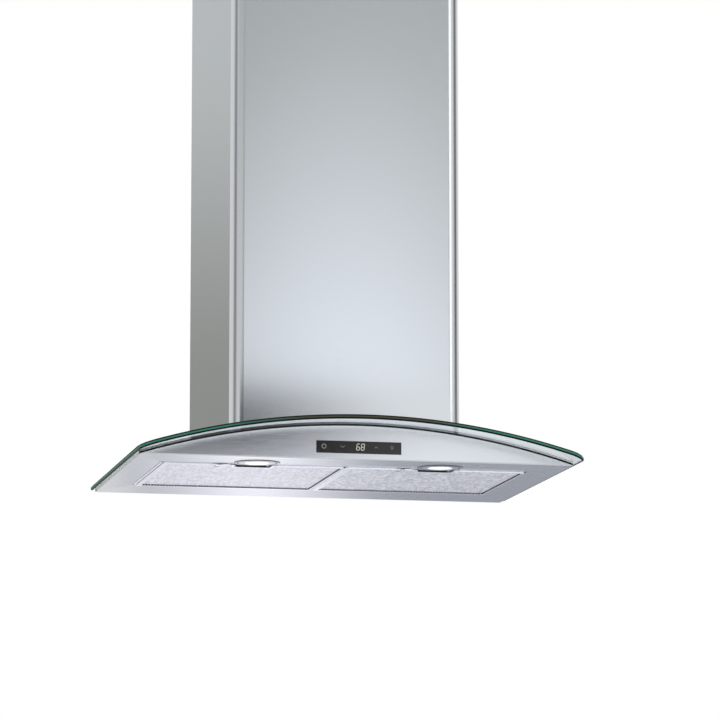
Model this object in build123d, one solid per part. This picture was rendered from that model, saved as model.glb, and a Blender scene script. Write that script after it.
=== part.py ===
from build123d import *
from math import asin, atan2, cos, degrees, radians, sqrt
import os

# Curved glass wall hood, millimetres. X to the right, Y into the wall, Z up.
# The wall is the plane Y = 0 and the hood stands out from it towards -Y. The origin is on that
# plane, midway between the two hanging holes in the back of the motor housing.

# ---- driving dimensions -------------------------------------------------------------------------
# glass canopy: a sheet bent to one radius, highest in the middle
GLASS_WIDTH = 600.0
GLASS_DEPTH = 460.0
GLASS_THICKNESS = 6.0
GLASS_RISE = 46.8               # its underside's middle above its side edges
GLASS_CORNER = 22.0             # plan radius of the two front corners
GLASS_ARRIS = 0.6               # ground edge
GLASS_WALL_GAP = 2.0
HANG_HEIGHT = 185.0             # hanging holes above the top of the glass's underside

# sheet steel body under the glass
BODY_SIDE_INSET = 7.0           # glass overhang at each side
FASCIA_SETBACK = 50.5           # glass overhang at the front
BODY_DROP = 47.8                # bottom edge below the top of the glass's underside
BODY_SHEET = 1.0
TOP_SHEET = 0.8
SEAL_THICKNESS = 2.5
SEAL_WIDTH = 8.0
FASCIA_FOLD = 1.6               # outer radius of the fold along the bottom edge
FASCIA_RETURN = 9.0             # flange folded back under the body
STRIP_FRONT = 78.5              # widths of the strips round the filter opening
STRIP_SIDE = 41.0
STRIP_REAR = 77.0
STRIP_RISE = 2.0                # the strips slope up to the opening
HINGE_SLOT_GAP = 1.5            # round each hinge arm
BOLT_NOTCH_GAP = 2.0            # round each latch bolt

# grease filters
FILTER_THICKNESS = 7.0
FILTER_RECESS = 0.5             # filter's face above the inner edge of the strips
FILTER_GAP = 3.0                # round each filter and between the two
FILTER_RIM_SIDE = 7.0
FILTER_RIM_REAR = 6.0
FILTER_RIM_FRONT = 6.0
FILTER_EDGE = 2.3               # thickness of the rolled bottom rim
FILTER_SHEET = 1.0
MESH_THICKNESS = 1.5
MESH_COLUMNS = 14
MESH_ROWS = 20
MESH_STRAND = 2.0
HINGE_ROD_RADIUS = 1.5
HINGE_ROD_LENGTH = 22.0
HINGE_SETBACK = 4.0             # rod axis behind the opening's rear edge
HINGE_SPACING = 160.0
HINGE_ARM_WIDTH = 12.0
HINGE_ARM_THICKNESS = 2.0
HINGE_CLEARANCE = 0.1
FILTER_OPEN_ANGLE = 80.0

# filter latch
LATCH_OFFSET = -46.0            # from the middle of its filter
LATCH_WIDTH = 16.0
LATCH_THICKNESS = 1.5
LATCH_REACH = 7.0               # bolt in front of the filter
LATCH_TRAVEL = 5.0
LATCH_PLATE_DEPTH = 23.0
LATCH_CLEARANCE = 0.3
LATCH_LAND = 4.0                # solid rim round the latch
LATCH_MESH_GAP = 1.0
SPRING_STOP_GAP = 3.0           # spring's length when the latch is pulled back
SPRING_STOP_WIDTH = 8.0
POCKET_SPARE = 6.0              # room behind the pulled latch
FIN_WIDTH = 4.0
FIN_DEPTH = 18.0
FIN_DROP = 1.0                  # below the filter's face
FIN_INSET = 1.0                 # from the rear end of the plate
FIN_GAP = 1.0
SPRING_RADIUS = 1.2
SPRING_WIRE = 0.5
CATCH_THICKNESS = 0.5
CATCH_DEPTH = 20.0
CATCH_RISE = 3.0                # foot of its nose in front of the notch

# lamps
LAMP_SETBACK = 64.5             # lamp axis behind the fascia
LENS_DIAMETER = 34.0
LENS_THICKNESS = 2.5
LENS_SET_BACK = 0.75            # lens's face above the ring's lip
LAMP_RING_DIAMETER = 62.0
LAMP_RING_THICKNESS = 1.5
LAMP_LIP_WIDTH = 3.0            # raised lip round the lens
LAMP_LIP_RISE = 0.45
LAMP_RIM_BEVEL = 2.0
LAMP_CAN_DIAMETER = 52.0
LAMP_CAN_HEIGHT = 26.0
LAMP_CAN_WALL = 1.5
CHIP_WIDTH = 4.0
CHIP_HEIGHT = 1.0
CHIP_CIRCLE = 7.0               # radius that the three chips lie on
LAMP_TAB_WIDTH = 44.0
LAMP_TAB_REACH = 17.0           # tab behind the front edge of the filter opening

# touch control
CONTROL_WIDTH = 115.0
CONTROL_HEIGHT = 16.2
CONTROL_DROP = 31.4             # its middle below the top of the glass's underside
CONTROL_GLASS = 3.0
CONTROL_PROUD = 0.6
CONTROL_CLEARANCE = 0.2
CONTROL_ARRIS = 0.3
CARRIER_WALL = 2.0
CARRIER_DEPTH = 12.0
CARRIER_POST_RADIUS = 2.0
CARRIER_POST_INSET = 4.0
BOARD_THICKNESS = 1.6
DISPLAY_WIDTH = 15.0
DISPLAY_HEIGHT = 10.0
DISPLAY_DEPTH = 4.0

# electronics in the body, behind the fascia
ELECTRONICS_WIDTH = 160.0
ELECTRONICS_DEPTH = 44.0
ELECTRONICS_HEIGHT = 28.0
ELECTRONICS_WALL = 2.0
ELECTRONICS_SETBACK = 15.0      # behind the fascia
BOARD_POST_RADIUS = 3.0
BOARD_POST_INSET = 8.0
BOARD_POST_HEIGHT = 4.0
BOARD_MARGIN = 2.0              # board to the box's wall
BOARD_PARTS_INSET = 6.0         # relay and terminals to the front and rear of the board
TERMINAL_WIDTH = 22.0
TERMINAL_HEIGHT = 12.0
TERMINAL_PITCH = 7.0
TERMINAL_SCREW_RADIUS = 2.2
TERMINAL_SCREW_DEPTH = 4.0
RELAY_INSET = 16.0
RELAY_WIDTH = 28.0
RELAY_HEIGHT = 14.0

# motor housing in the chimney
HOUSING_WIDTH = 240.0
HOUSING_DEPTH = 270.0
HOUSING_HEIGHT = 230.0          # above the top of the glass's underside
HOUSING_SHEET = 1.2
HOUSING_FLANGE = 8.0
HOUSING_LIP = 12.0              # folded in at the top, under the plate
NECK_GAP = 3.0                  # between the housing and the cut-out in the glass
INTAKE_MARGIN = 6.0             # body's top sheet left inside the housing
HANG_SPACING = 200.0
HANG_HOLE_RADIUS = 4.0
SAFETY_SPACING = 160.0
SAFETY_HOLE_RADIUS = 3.0
SAFETY_DROP = 24.0              # below the top of the glass's underside

# glass fixings
GLASS_HOLE_RADIUS = 5.0
GLASS_SCREW_X = 140.0
GLASS_SCREW_SIDE_SETBACK = 60.0  # from the wall
GLASS_SCREW_FRONT_X = 95.0
GLASS_SCREW_FRONT_GAP = 24.0    # in front of the housing
BUSH_RADIUS = 8.0
BUSH_CAP = 1.5
GLASS_SCREW_RADIUS = 2.5
GLASS_NUT_RADIUS = 4.5
GLASS_NUT_HEIGHT = 4.0

# blower
BLOWER_WALL_GAP = 110.0         # impeller axis in front of the wall
BLOWER_HEIGHT = 105.0           # impeller axis above the top of the glass's underside
IMPELLER_RADIUS = 68.0
IMPELLER_WIDTH = 120.0
BLADE_COUNT = 32
BLADE_DEPTH = 12.0
BLADE_THICKNESS = 1.2
BLADE_PITCH = 32.0              # degrees from the radius
END_RING_THICKNESS = 2.5
HUB_THICKNESS = 2.0
HUB_EDGE = 1.0                  # disc's edge inside the blades' outer edges
HUB_BOSS_RADIUS = 10.0
HUB_BOSS_LEFT = 4.0             # boss on each side of the disc's middle
HUB_BOSS_RIGHT = 12.0
SCROLL_WIDTH = 140.0
SCROLL_WALL = 2.5
SCROLL_GAP = 8.0                # impeller to scroll where they are closest
SCROLL_STEP = 12.0              # growth of the scroll in each quarter turn
SCROLL_TONGUE = 6.0             # outlet's rear wall in front of the impeller axis
SCROLL_FLANGE = 8.0
SCROLL_FLANGE_THICKNESS = 3.0
INLET_RADIUS = 54.0

# motor
MOTOR_RADIUS = 40.0
MOTOR_LENGTH = 62.0
MOTOR_WALL = 1.5
MOTOR_END_WALL = 7.0
STATOR_LENGTH = 30.0
ROTOR_RADIUS = 22.0
ROTOR_GAP = 0.6
ROTOR_LENGTH = 34.0
SHAFT_RADIUS = 4.0
SHAFT_CLEARANCE = 0.05
BEARING_RADIUS = 11.0
SPIDER_THICKNESS = 2.0
SPIDER_RING = 10.0
SPIDER_ARM_WIDTH = 14.0
SPIDER_PLATE_RADIUS = 30.0
SHAFT_ARRIS = 0.5
SHAFT_INSET = 1.0               # its left end inside the motor
CAPACITOR_RADIUS = 15.0
CAPACITOR_LENGTH = 60.0
DRIVER_WIDTH = 22.0             # lamp driver
DRIVER_LENGTH = 90.0
DRIVER_HEIGHT = 35.0
DRIVER_CORNER = 2.0
BOX_PARTS_HEIGHT = 60.0         # capacitor and lamp driver above the top of the glass's underside

# outlet collar and its back-draught flaps
COLLAR_RADIUS = 74.5
COLLAR_WALL = 2.5
COLLAR_HEIGHT = 48.0
COLLAR_FLANGE = 11.5
COLLAR_FLANGE_THICKNESS = 2.5
FLAP_HEIGHT = 20.0              # flap axis above the collar's foot
FLAP_THICKNESS = 1.2
FLAP_GAP = 1.5                  # flap edge to collar
FLAP_STOP = 3.0
FLAP_REST_GAP = 0.1
FLAP_ROOT_GAP = 0.6             # half disc to the knuckles of the other flap
FLAP_OPEN_ANGLE = 75.0
SPINDLE_RADIUS = 2.0
KNUCKLE_RADIUS = 3.6
KNUCKLE_CLEARANCE = 0.06
KNUCKLE_LENGTH = 25.0
KNUCKLE_GAP = 5.0
LEDGE_GAP = 1.0                 # ledge to the knuckles

# chimney covers
COVER_WIDTH = 318.0
COVER_DEPTH = 332.0
COVER_BEND = 18.0
COVER_SHEET = 1.0
COVER_RETURN = 16.0             # flange folded in against the wall
LOWER_COVER_TOP = 672.0         # above the top of the glass's underside
UPPER_COVER_SHEET = 0.8
UPPER_COVER_GAP = 0.7
UPPER_COVER_LENGTH = 550.0
UPPER_COVER_SHOW = 20.0         # stands out of the lower cover when it is down
UPPER_COVER_TRAVEL = 400.0
BRACKET_SHEET = 1.5
BRACKET_HEIGHT = 30.0
BRACKET_EAR = 30.0
BRACKET_DROP = 5.0              # below the top of the upper cover
BRACKET_HOLE_SPACING = 200.0
BRACKET_HOLE_RADIUS = 3.0
CLIP_HEIGHT = 24.0              # lower cover's brackets
CLIP_LEG = 30.0
CLIP_RAISE = 60.0               # above the top of the glass's underside
COVER_SCREW_GAP = 0.2           # low head to the lower cover
COVER_SCREW_END = 2.0           # shank beyond the ear

# small screws, and the cable gland
SCREW_RADIUS = 1.7
SCREW_HEAD_RADIUS = 3.5
SCREW_HEAD_HEIGHT = 2.2
GLAND_RADIUS = 10.0
GLAND_THREAD_RADIUS = 7.0
GLAND_CAP_RADIUS = 9.0
GLAND_CAP_ROUND = 3.0
GLAND_NUT_HEIGHT = 4.0
GLAND_BORE = 4.2
GLAND_HEIGHT = 22.0
GLAND_INSET = 26.0              # from the housing's rear right corner

OVER = 1.0                      # how far a cut passes the face that it opens

# ---- places worked out from them ------------------------------------------------------------------
GLASS_Z = -HANG_HEIGHT                          # highest line of the glass's underside
GLASS_RADIUS = ((GLASS_WIDTH / 2) ** 2 + GLASS_RISE ** 2) / (2 * GLASS_RISE)
ARCH_Z = GLASS_Z - GLASS_RADIUS                 # axis of the bend
SEAL_RADIUS = GLASS_RADIUS - SEAL_THICKNESS     # outside of the body's top sheet
BODY_HALF = GLASS_WIDTH / 2 - BODY_SIDE_INSET
FASCIA_Y = -(GLASS_DEPTH - FASCIA_SETBACK)
BODY_Z = GLASS_Z - BODY_DROP
STRIP_Y = FASCIA_Y + FASCIA_RETURN              # front edge of the underside frame
OPENING_FRONT = STRIP_Y + STRIP_FRONT
OPENING_REAR = -STRIP_REAR
OPENING_HALF = BODY_HALF - STRIP_SIDE
OPENING_Z = BODY_Z + STRIP_RISE                 # underside of the strips at the opening
STRIP_ANGLE = degrees(atan2(STRIP_RISE, STRIP_FRONT))

FILTER_WIDTH = OPENING_HALF - 1.5 * FILTER_GAP
FILTER_X = (FILTER_GAP + FILTER_WIDTH) / 2      # middle of the right filter
FILTER_FRONT = OPENING_FRONT + FILTER_GAP
FILTER_REAR = OPENING_REAR - FILTER_GAP
FILTER_Z = OPENING_Z + FILTER_RECESS
FILTER_TOP = FILTER_Z + FILTER_THICKNESS
FILTER_FLOOR = FILTER_Z + FILTER_EDGE           # upper face of the rolled rim
HINGE_Y = OPENING_REAR + HINGE_SETBACK
HINGE_Z = OPENING_Z + BODY_SHEET + HINGE_ROD_RADIUS + HINGE_CLEARANCE

LAMP_Y = FASCIA_Y + LAMP_SETBACK
LAMP_D = (LAMP_Y - STRIP_Y) / cos(radians(STRIP_ANGLE))
TAB_REAR = OPENING_FRONT + LAMP_TAB_REACH

HOUSING_HALF = HOUSING_WIDTH / 2
HOUSING_TOP = GLASS_Z + HOUSING_HEIGHT
PLATE_TOP = HOUSING_TOP + HOUSING_SHEET

BLOWER_Y = -BLOWER_WALL_GAP
BLOWER_Z = GLASS_Z + BLOWER_HEIGHT
SCROLL_RADIUS = IMPELLER_RADIUS + SCROLL_GAP
OUTLET_FRONT = -(SCROLL_RADIUS + 3 * SCROLL_STEP)   # from the impeller axis
OUTLET_REAR = -SCROLL_TONGUE
COLLAR_Y = BLOWER_Y + (OUTLET_FRONT + OUTLET_REAR) / 2
COLLAR_BORE = COLLAR_RADIUS - COLLAR_WALL
FLAP_Z = PLATE_TOP + FLAP_HEIGHT

COVER_HALF = COVER_WIDTH / 2
UPPER_INSET = COVER_SHEET + UPPER_COVER_GAP
UPPER_COVER_TOP = GLASS_Z + LOWER_COVER_TOP + UPPER_COVER_SHOW


# ---- helpers -------------------------------------------------------------------------------------
def block(x0, x1, y0, y1, z0, z1):
    """A box between two opposite corners."""
    return Pos((x0 + x1) / 2, (y0 + y1) / 2, (z0 + z1) / 2) * Box(x1 - x0, y1 - y0, z1 - z0)


def rod_x(radius, x0, x1, y, z):
    return Pos((x0 + x1) / 2, y, z) * Rot(0, 90, 0) * Cylinder(radius, x1 - x0)


def rod_y(radius, y0, y1, x, z):
    return Pos(x, (y0 + y1) / 2, z) * Rot(90, 0, 0) * Cylinder(radius, y1 - y0)


def rod_z(radius, z0, z1, x, y):
    return Pos(x, y, (z0 + z1) / 2) * Cylinder(radius, z1 - z0)


def arch(radius, y0, y1):
    """Everything under the bend of the given radius, between two depths."""
    return rod_y(radius, y0, y1, 0, ARCH_Z)


def arch_layer(inner, outer, half_width, y0, y1):
    """A curved layer of the canopy, between two radii and two depths."""
    layer = arch(outer, y0, y1) - arch(inner, y0, y1)
    return layer & block(-half_width, half_width, y0, y1, BODY_Z, GLASS_Z + GLASS_THICKNESS + OVER)


def on_arch(solid, x, y):
    """Stands a solid on the glass's underside: its Z axis along the bend's radius."""
    return Pos(0, y, ARCH_Z) * Rot(0, degrees(asin(x / GLASS_RADIUS)), 0) * Pos(0, 0, GLASS_RADIUS) * solid


def on_strip(solid):
    """From the front strip's own axes, X, rearwards along it and up from its underside."""
    return Pos(0, STRIP_Y, BODY_Z) * Rot(STRIP_ANGLE, 0, 0) * solid


def strip_bottom(y):
    """Height of the front strip's underside."""
    return BODY_Z + STRIP_RISE * (y - STRIP_Y) / STRIP_FRONT


def pan_screw(length, radius=SCREW_RADIUS):
    """A pan head screw along Z, its head standing on Z = 0 and its shank below."""
    head = rod_z(SCREW_HEAD_RADIUS, 0, SCREW_HEAD_HEIGHT, 0, 0)
    slot_depth = SCREW_HEAD_HEIGHT / 2
    for turn in (0, 90):
        slot = block(-radius, radius, -radius / 4, radius / 4, slot_depth, SCREW_HEAD_HEIGHT)
        head -= Rot(0, 0, turn) * slot
    return head + rod_z(radius, -length, 0, 0, 0)


def screw_holes(places):
    """What the shanks of upright screws cut from the sheets that they join."""
    return [Pos(*place) * Cylinder(SCREW_RADIUS, 8 * SCREW_HEAD_RADIUS) for place in places]


def screw_group(places, length):
    """Separate upright screws, one at each place."""
    return [Pos(*place) * pan_screw(length) for place in places]


parts = {}


def keep(name, *solids):
    """Files one named piece, or a group of like pieces."""
    shapes = [solid for entry in solids for solid in entry.solids()]
    parts[name] = shapes[0] if len(shapes) == 1 else Compound(children=shapes)


# ---- glass canopy --------------------------------------------------------------------------------
def glass_screw_places():
    side_y = -GLASS_SCREW_SIDE_SETBACK
    front_y = -(HOUSING_DEPTH + GLASS_SCREW_FRONT_GAP)
    return [
        (-GLASS_SCREW_X, side_y),
        (GLASS_SCREW_X, side_y),
        (-GLASS_SCREW_FRONT_X, front_y),
        (GLASS_SCREW_FRONT_X, front_y),
    ]


def glass_canopy():
    depth = GLASS_DEPTH - GLASS_WALL_GAP
    outline = Rectangle(GLASS_WIDTH, depth)
    outline = fillet(outline.vertices().group_by(Axis.Y)[0], GLASS_CORNER)
    height = BODY_DROP + GLASS_THICKNESS + OVER
    blank = Pos(0, -GLASS_WALL_GAP - depth / 2, BODY_Z) * extrude(outline, height)
    sheet = blank & arch(GLASS_RADIUS + GLASS_THICKNESS, -GLASS_DEPTH, 0)
    sheet -= arch(GLASS_RADIUS, -GLASS_DEPTH, 0)
    front = sheet.faces().sort_by(Axis.Y)[0]
    sheet = chamfer(front.edges().filter_by(GeomType.CIRCLE), GLASS_ARRIS)
    neck = HOUSING_HALF + NECK_GAP
    reach = HOUSING_DEPTH + NECK_GAP
    sheet -= block(-neck, neck, -reach, 0, BODY_Z, GLASS_Z + GLASS_THICKNESS + OVER)
    for x, y in glass_screw_places():
        sheet -= on_arch(Cylinder(GLASS_HOLE_RADIUS, 4 * GLASS_THICKNESS), x, y)
    return sheet


def glass_seal(tray):
    """Rubber strip round the top of the body, under the glass."""
    layer = arch_layer(SEAL_RADIUS, GLASS_RADIUS, BODY_HALF, FASCIA_Y, -GLASS_WALL_GAP)
    inner = BODY_HALF - SEAL_WIDTH
    hollow = block(
        -inner, inner, FASCIA_Y + SEAL_WIDTH, -GLASS_WALL_GAP - SEAL_WIDTH, BODY_Z, GLASS_Z + OVER
    )
    neck = HOUSING_HALF + HOUSING_FLANGE
    housing = block(-neck, neck, -HOUSING_DEPTH, 0, BODY_Z, GLASS_Z + OVER)
    return layer - hollow - housing - tray


def glass_bush(x, y, glass):
    """Rubber bush: a pad under the glass, a sleeve through it and a cap on it."""
    top = GLASS_THICKNESS + BUSH_CAP
    bush = rod_z(BUSH_RADIUS, -2 * SEAL_THICKNESS, GLASS_THICKNESS / 2, 0, 0)
    bush += rod_z(GLASS_HOLE_RADIUS, 0, GLASS_THICKNESS, 0, 0)
    bush += rod_z(BUSH_RADIUS, GLASS_THICKNESS, top, 0, 0)
    bush -= rod_z(GLASS_SCREW_RADIUS, -3 * SEAL_THICKNESS, top, 0, 0)
    return on_arch(bush, x, y) - glass - arch(SEAL_RADIUS, y - 2 * BUSH_RADIUS, y + 2 * BUSH_RADIUS)


def glass_nut(x, y):
    """Hexagon nut under the body's top sheet, trimmed by its bend."""
    nut = extrude(RegularPolygon(GLASS_NUT_RADIUS, 6), GLASS_NUT_HEIGHT + TOP_SHEET)
    nut -= Cylinder(GLASS_SCREW_RADIUS, 4 * GLASS_NUT_HEIGHT)
    nut = on_arch(Pos(0, 0, -SEAL_THICKNESS - TOP_SHEET - GLASS_NUT_HEIGHT) * nut, x, y)
    return nut & arch(SEAL_RADIUS - TOP_SHEET, y - GLASS_NUT_RADIUS, y + GLASS_NUT_RADIUS)


def make_glass(tray):
    glass = glass_canopy()
    keep("glass_canopy", glass)
    keep("glass_seal", glass_seal(tray))
    grip = GLASS_THICKNESS + BUSH_CAP
    shank = grip + SEAL_THICKNESS + TOP_SHEET + 2 * GLASS_SCREW_RADIUS
    screw = Pos(0, 0, grip) * pan_screw(shank, GLASS_SCREW_RADIUS)
    places = glass_screw_places()
    keep("glass_bushes", *[glass_bush(x, y, glass) for x, y in places])
    keep("glass_screws", *[on_arch(screw, x, y) for x, y in places])
    keep("glass_nuts", *[glass_nut(x, y) for x, y in places])


# ---- sheet steel body ----------------------------------------------------------------------------
def tray_core():
    """The space under the sloping strips."""
    outer = Pos(0, STRIP_Y / 2, BODY_Z) * Rectangle(2 * BODY_HALF, -STRIP_Y)
    middle = (OPENING_FRONT + OPENING_REAR) / 2
    inner = Pos(0, middle, OPENING_Z) * Rectangle(2 * OPENING_HALF, OPENING_REAR - OPENING_FRONT)
    return loft([outer, inner], ruled=True)


def tray_volume():
    """That space and the sheet over it."""
    slab = block(-BODY_HALF, BODY_HALF, STRIP_Y, 0, BODY_Z, BODY_Z + BODY_SHEET)
    return slab + Pos(0, 0, BODY_SHEET) * tray_core()


def strip_patch(x0, x1, y0, y1):
    """A piece of the front strip's sheet, in its slope."""
    corners = [
        (y0, strip_bottom(y0)),
        (y1, strip_bottom(y1)),
        (y1, strip_bottom(y1) + BODY_SHEET),
        (y0, strip_bottom(y0) + BODY_SHEET),
    ]
    outline = make_face(Polyline(*corners, close=True))
    return Plane.YZ.offset(x0) * extrude(outline, x1 - x0)


def hinge_places():
    """Middles of the hinge arms along X."""
    sides = (-FILTER_X, FILTER_X)
    return [side + arm * HINGE_SPACING / 2 for side in sides for arm in (-1, 1)]


def latch_places():
    return [-FILTER_X + LATCH_OFFSET, FILTER_X + LATCH_OFFSET]


def bolt_notch_front():
    return FILTER_FRONT - LATCH_REACH - BOLT_NOTCH_GAP


def underside_frame(tray):
    """Four sloping strips round the filter opening, with the two lamp tabs."""
    frame = tray - tray_core()
    frame -= block(
        -OPENING_HALF, OPENING_HALF, OPENING_FRONT, OPENING_REAR, BODY_Z, OPENING_Z + 2 * BODY_SHEET
    )
    half_tab = LAMP_TAB_WIDTH / 2
    for x in (-FILTER_X, FILTER_X):
        frame += strip_patch(x - half_tab, x + half_tab, OPENING_FRONT - OVER, TAB_REAR)
    for x in (-FILTER_X, FILTER_X):
        hole = Pos(x, LAMP_D, 0) * Cylinder(LAMP_CAN_DIAMETER / 2, 8 * BODY_SHEET)
        frame -= on_strip(hole)
    slot = HINGE_ARM_WIDTH / 2 + HINGE_SLOT_GAP
    above = OPENING_Z + BODY_SHEET + STRIP_RISE
    for x in hinge_places():
        rear = HINGE_Y + 2 * HINGE_ROD_RADIUS
        frame -= block(x - slot, x + slot, OPENING_REAR - OVER, rear, BODY_Z, above)
    notch = LATCH_WIDTH / 2 + BOLT_NOTCH_GAP
    for x in latch_places():
        frame -= block(x - notch, x + notch, bolt_notch_front(), OPENING_FRONT + OVER, BODY_Z, above)
    return frame


def fascia_panel():
    """Flat front with an arched top, folded back along its bottom edge."""
    back = FASCIA_Y + BODY_SHEET
    top = GLASS_Z
    inner_z = BODY_Z + BODY_SHEET
    outline = [
        (FASCIA_Y, top),
        (FASCIA_Y, BODY_Z),
        (STRIP_Y, BODY_Z),
        (STRIP_Y, inner_z),
        (back, inner_z),
        (back, top),
    ]
    profile = make_face(Polyline(*outline, close=True))
    outer_corner = profile.vertices().sort_by(Axis.X)[:2].sort_by(Axis.Y)[0]
    profile = fillet(outer_corner, FASCIA_FOLD)
    sheet = Plane.YZ.offset(-BODY_HALF) * extrude(profile, 2 * BODY_HALF)
    sheet &= arch(SEAL_RADIUS, FASCIA_Y - OVER, STRIP_Y + OVER)
    half_w = CONTROL_WIDTH / 2 + CONTROL_CLEARANCE
    half_h = CONTROL_HEIGHT / 2 + CONTROL_CLEARANCE
    middle = GLASS_Z - CONTROL_DROP
    window = block(
        -half_w, half_w, FASCIA_Y - OVER, back + OVER, middle - half_h, middle + half_h
    )
    return sheet - window


def body_top(tray):
    """Curved sheet under the glass, open to the motor housing."""
    sheet = arch_layer(SEAL_RADIUS - TOP_SHEET, SEAL_RADIUS, BODY_HALF, FASCIA_Y + BODY_SHEET, 0)
    half = HOUSING_HALF - HOUSING_SHEET - INTAKE_MARGIN
    front = -HOUSING_DEPTH + HOUSING_SHEET + INTAKE_MARGIN
    sheet -= block(-half, half, front, -HOUSING_SHEET - INTAKE_MARGIN, BODY_Z, GLASS_Z + OVER)
    for x, y in glass_screw_places():
        sheet -= on_arch(Cylinder(GLASS_SCREW_RADIUS, 4 * GLASS_THICKNESS), x, y)
    flange = block(-BODY_HALF, BODY_HALF, FASCIA_Y, STRIP_Y, BODY_Z, BODY_Z + BODY_SHEET)
    return sheet - flange - tray


def body_back(tray):
    """Flat sheet against the wall, under the curved one."""
    sheet = arch(SEAL_RADIUS - TOP_SHEET, -BODY_SHEET, 0)
    sheet &= block(-BODY_HALF, BODY_HALF, -BODY_SHEET, 0, BODY_Z, GLASS_Z)
    for side in (-1, 1):
        x = side * SAFETY_SPACING / 2
        sheet -= rod_y(SAFETY_HOLE_RADIUS, -2 * BODY_SHEET, BODY_SHEET, x, GLASS_Z - SAFETY_DROP)
    return sheet - tray


def make_body(tray):
    keep("underside_frame", underside_frame(tray))
    keep("fascia_panel", fascia_panel())
    keep("body_top", body_top(tray))
    keep("body_back", body_back(tray))


# ---- touch control and electronics ------------------------------------------------------------------
def make_control():
    half_w = CONTROL_WIDTH / 2
    half_h = CONTROL_HEIGHT / 2
    middle = GLASS_Z - CONTROL_DROP
    glass_back = FASCIA_Y - CONTROL_PROUD + CONTROL_GLASS
    front = FASCIA_Y - CONTROL_PROUD
    glass = block(-half_w, half_w, front, glass_back, middle - half_h, middle + half_h)
    keep("control_glass", chamfer(glass.faces().sort_by(Axis.Y)[0].edges(), CONTROL_ARRIS))

    # the carrier is a tray behind the fascia, open to the front round the glass
    wall = CARRIER_WALL
    back = FASCIA_Y + BODY_SHEET
    outer_w = half_w + wall + CONTROL_CLEARANCE
    outer_h = half_h + wall + CONTROL_CLEARANCE
    carrier = block(-outer_w, outer_w, back, back + CARRIER_DEPTH, middle - outer_h, middle + outer_h)
    inner_w = half_w + CONTROL_CLEARANCE
    inner_h = half_h + CONTROL_CLEARANCE
    rear_wall = back + CARRIER_DEPTH - wall
    carrier -= block(-inner_w, inner_w, back, rear_wall, middle - inner_h, middle + inner_h)
    board_front = glass_back + DISPLAY_DEPTH
    post_front = board_front + BOARD_THICKNESS
    post_x = half_w - CARRIER_POST_INSET
    for side in (-1, 1):
        carrier += rod_y(CARRIER_POST_RADIUS, post_front, rear_wall, side * post_x, middle)
    keep("control_carrier", carrier)

    board = block(
        -half_w, half_w, board_front, board_front + BOARD_THICKNESS, middle - half_h, middle + half_h
    )
    keep("control_board", board)
    half_d = DISPLAY_WIDTH / 2
    half_e = DISPLAY_HEIGHT / 2
    display = block(-half_d, half_d, glass_back, board_front, middle - half_e, middle + half_e)
    keep("display_module", display)


def make_electronics():
    """Mains box on the front strip between the lamps, in the strip's own axes."""
    half = ELECTRONICS_WIDTH / 2
    front = ELECTRONICS_SETBACK - FASCIA_RETURN
    rear = front + ELECTRONICS_DEPTH
    wall = ELECTRONICS_WALL
    floor = BODY_SHEET
    lid_z = floor + ELECTRONICS_HEIGHT - wall
    box = block(-half, half, front, rear, floor, lid_z)
    box -= block(-half + wall, half - wall, front + wall, rear - wall, floor + wall, lid_z)
    board_z = floor + wall + BOARD_POST_HEIGHT
    inset = BOARD_POST_INSET
    for x in (-half + inset, half - inset):
        for d in (front + inset, rear - inset):
            box += rod_z(BOARD_POST_RADIUS, floor + wall, board_z, x, d)
    keep("electronics_box", on_strip(box))
    keep("electronics_lid", on_strip(block(-half, half, front, rear, lid_z, lid_z + wall)))

    end = half - wall - BOARD_MARGIN
    board_front = front + wall + BOARD_MARGIN
    board_rear = rear - wall - BOARD_MARGIN
    top = board_z + BOARD_THICKNESS
    board = block(-end, end, board_front, board_rear, board_z, top)
    parts_front = board_front + BOARD_PARTS_INSET
    parts_rear = board_rear - BOARD_PARTS_INSET
    relay_x = -end + RELAY_INSET
    board += block(
        relay_x, relay_x + RELAY_WIDTH, parts_front, parts_rear, top, top + RELAY_HEIGHT
    )
    keep("main_board", on_strip(board))

    terminals_top = top + TERMINAL_HEIGHT
    terminals = block(end - TERMINAL_WIDTH, end, parts_front, parts_rear, top, terminals_top)
    for pole in (-1, 0, 1):
        d = (front + rear) / 2 + pole * TERMINAL_PITCH
        terminals -= rod_z(
            TERMINAL_SCREW_RADIUS,
            terminals_top - TERMINAL_SCREW_DEPTH,
            terminals_top,
            end - TERMINAL_WIDTH / 2,
            d,
        )
    keep("terminal_block", on_strip(terminals))


# ---- lamps ---------------------------------------------------------------------------------------
def lamp_ring():
    """Pressed ring: flat rim, raised lip round the lens."""
    outer = LAMP_RING_DIAMETER / 2
    lens = LENS_DIAMETER / 2
    drop = LAMP_RING_THICKNESS
    flat = drop - LAMP_LIP_RISE
    lip = lens + LAMP_LIP_WIDTH
    outline = [
        (lens, 0),
        (lens, -drop),
        (lip, -drop),
        (lip + LAMP_LIP_RISE, -flat),
        (outer - LAMP_RIM_BEVEL, -flat),
        (outer, 0),
    ]
    return revolve(Plane.XZ * make_face(Polyline(*outline, close=True)), Axis.Z)


def lamp_can():
    """Lamp body above the strip: a cup with its mouth in the strip's hole."""
    radius = LAMP_CAN_DIAMETER / 2
    top = LAMP_CAN_HEIGHT
    cup = rod_z(radius, 0, top, 0, 0)
    cup -= rod_z(radius - LAMP_CAN_WALL, 0, top - LAMP_CAN_WALL, 0, 0)
    return cup


def lamp_lens():
    """Frosted glass in the ring, with a collar behind it that rests on the ring."""
    face = rod_z(LENS_DIAMETER / 2, LENS_SET_BACK - LAMP_RING_THICKNESS, 0, 0, 0)
    collar = rod_z(LAMP_CAN_DIAMETER / 2 - LAMP_CAN_WALL, 0, LENS_THICKNESS, 0, 0)
    return face + collar


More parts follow.
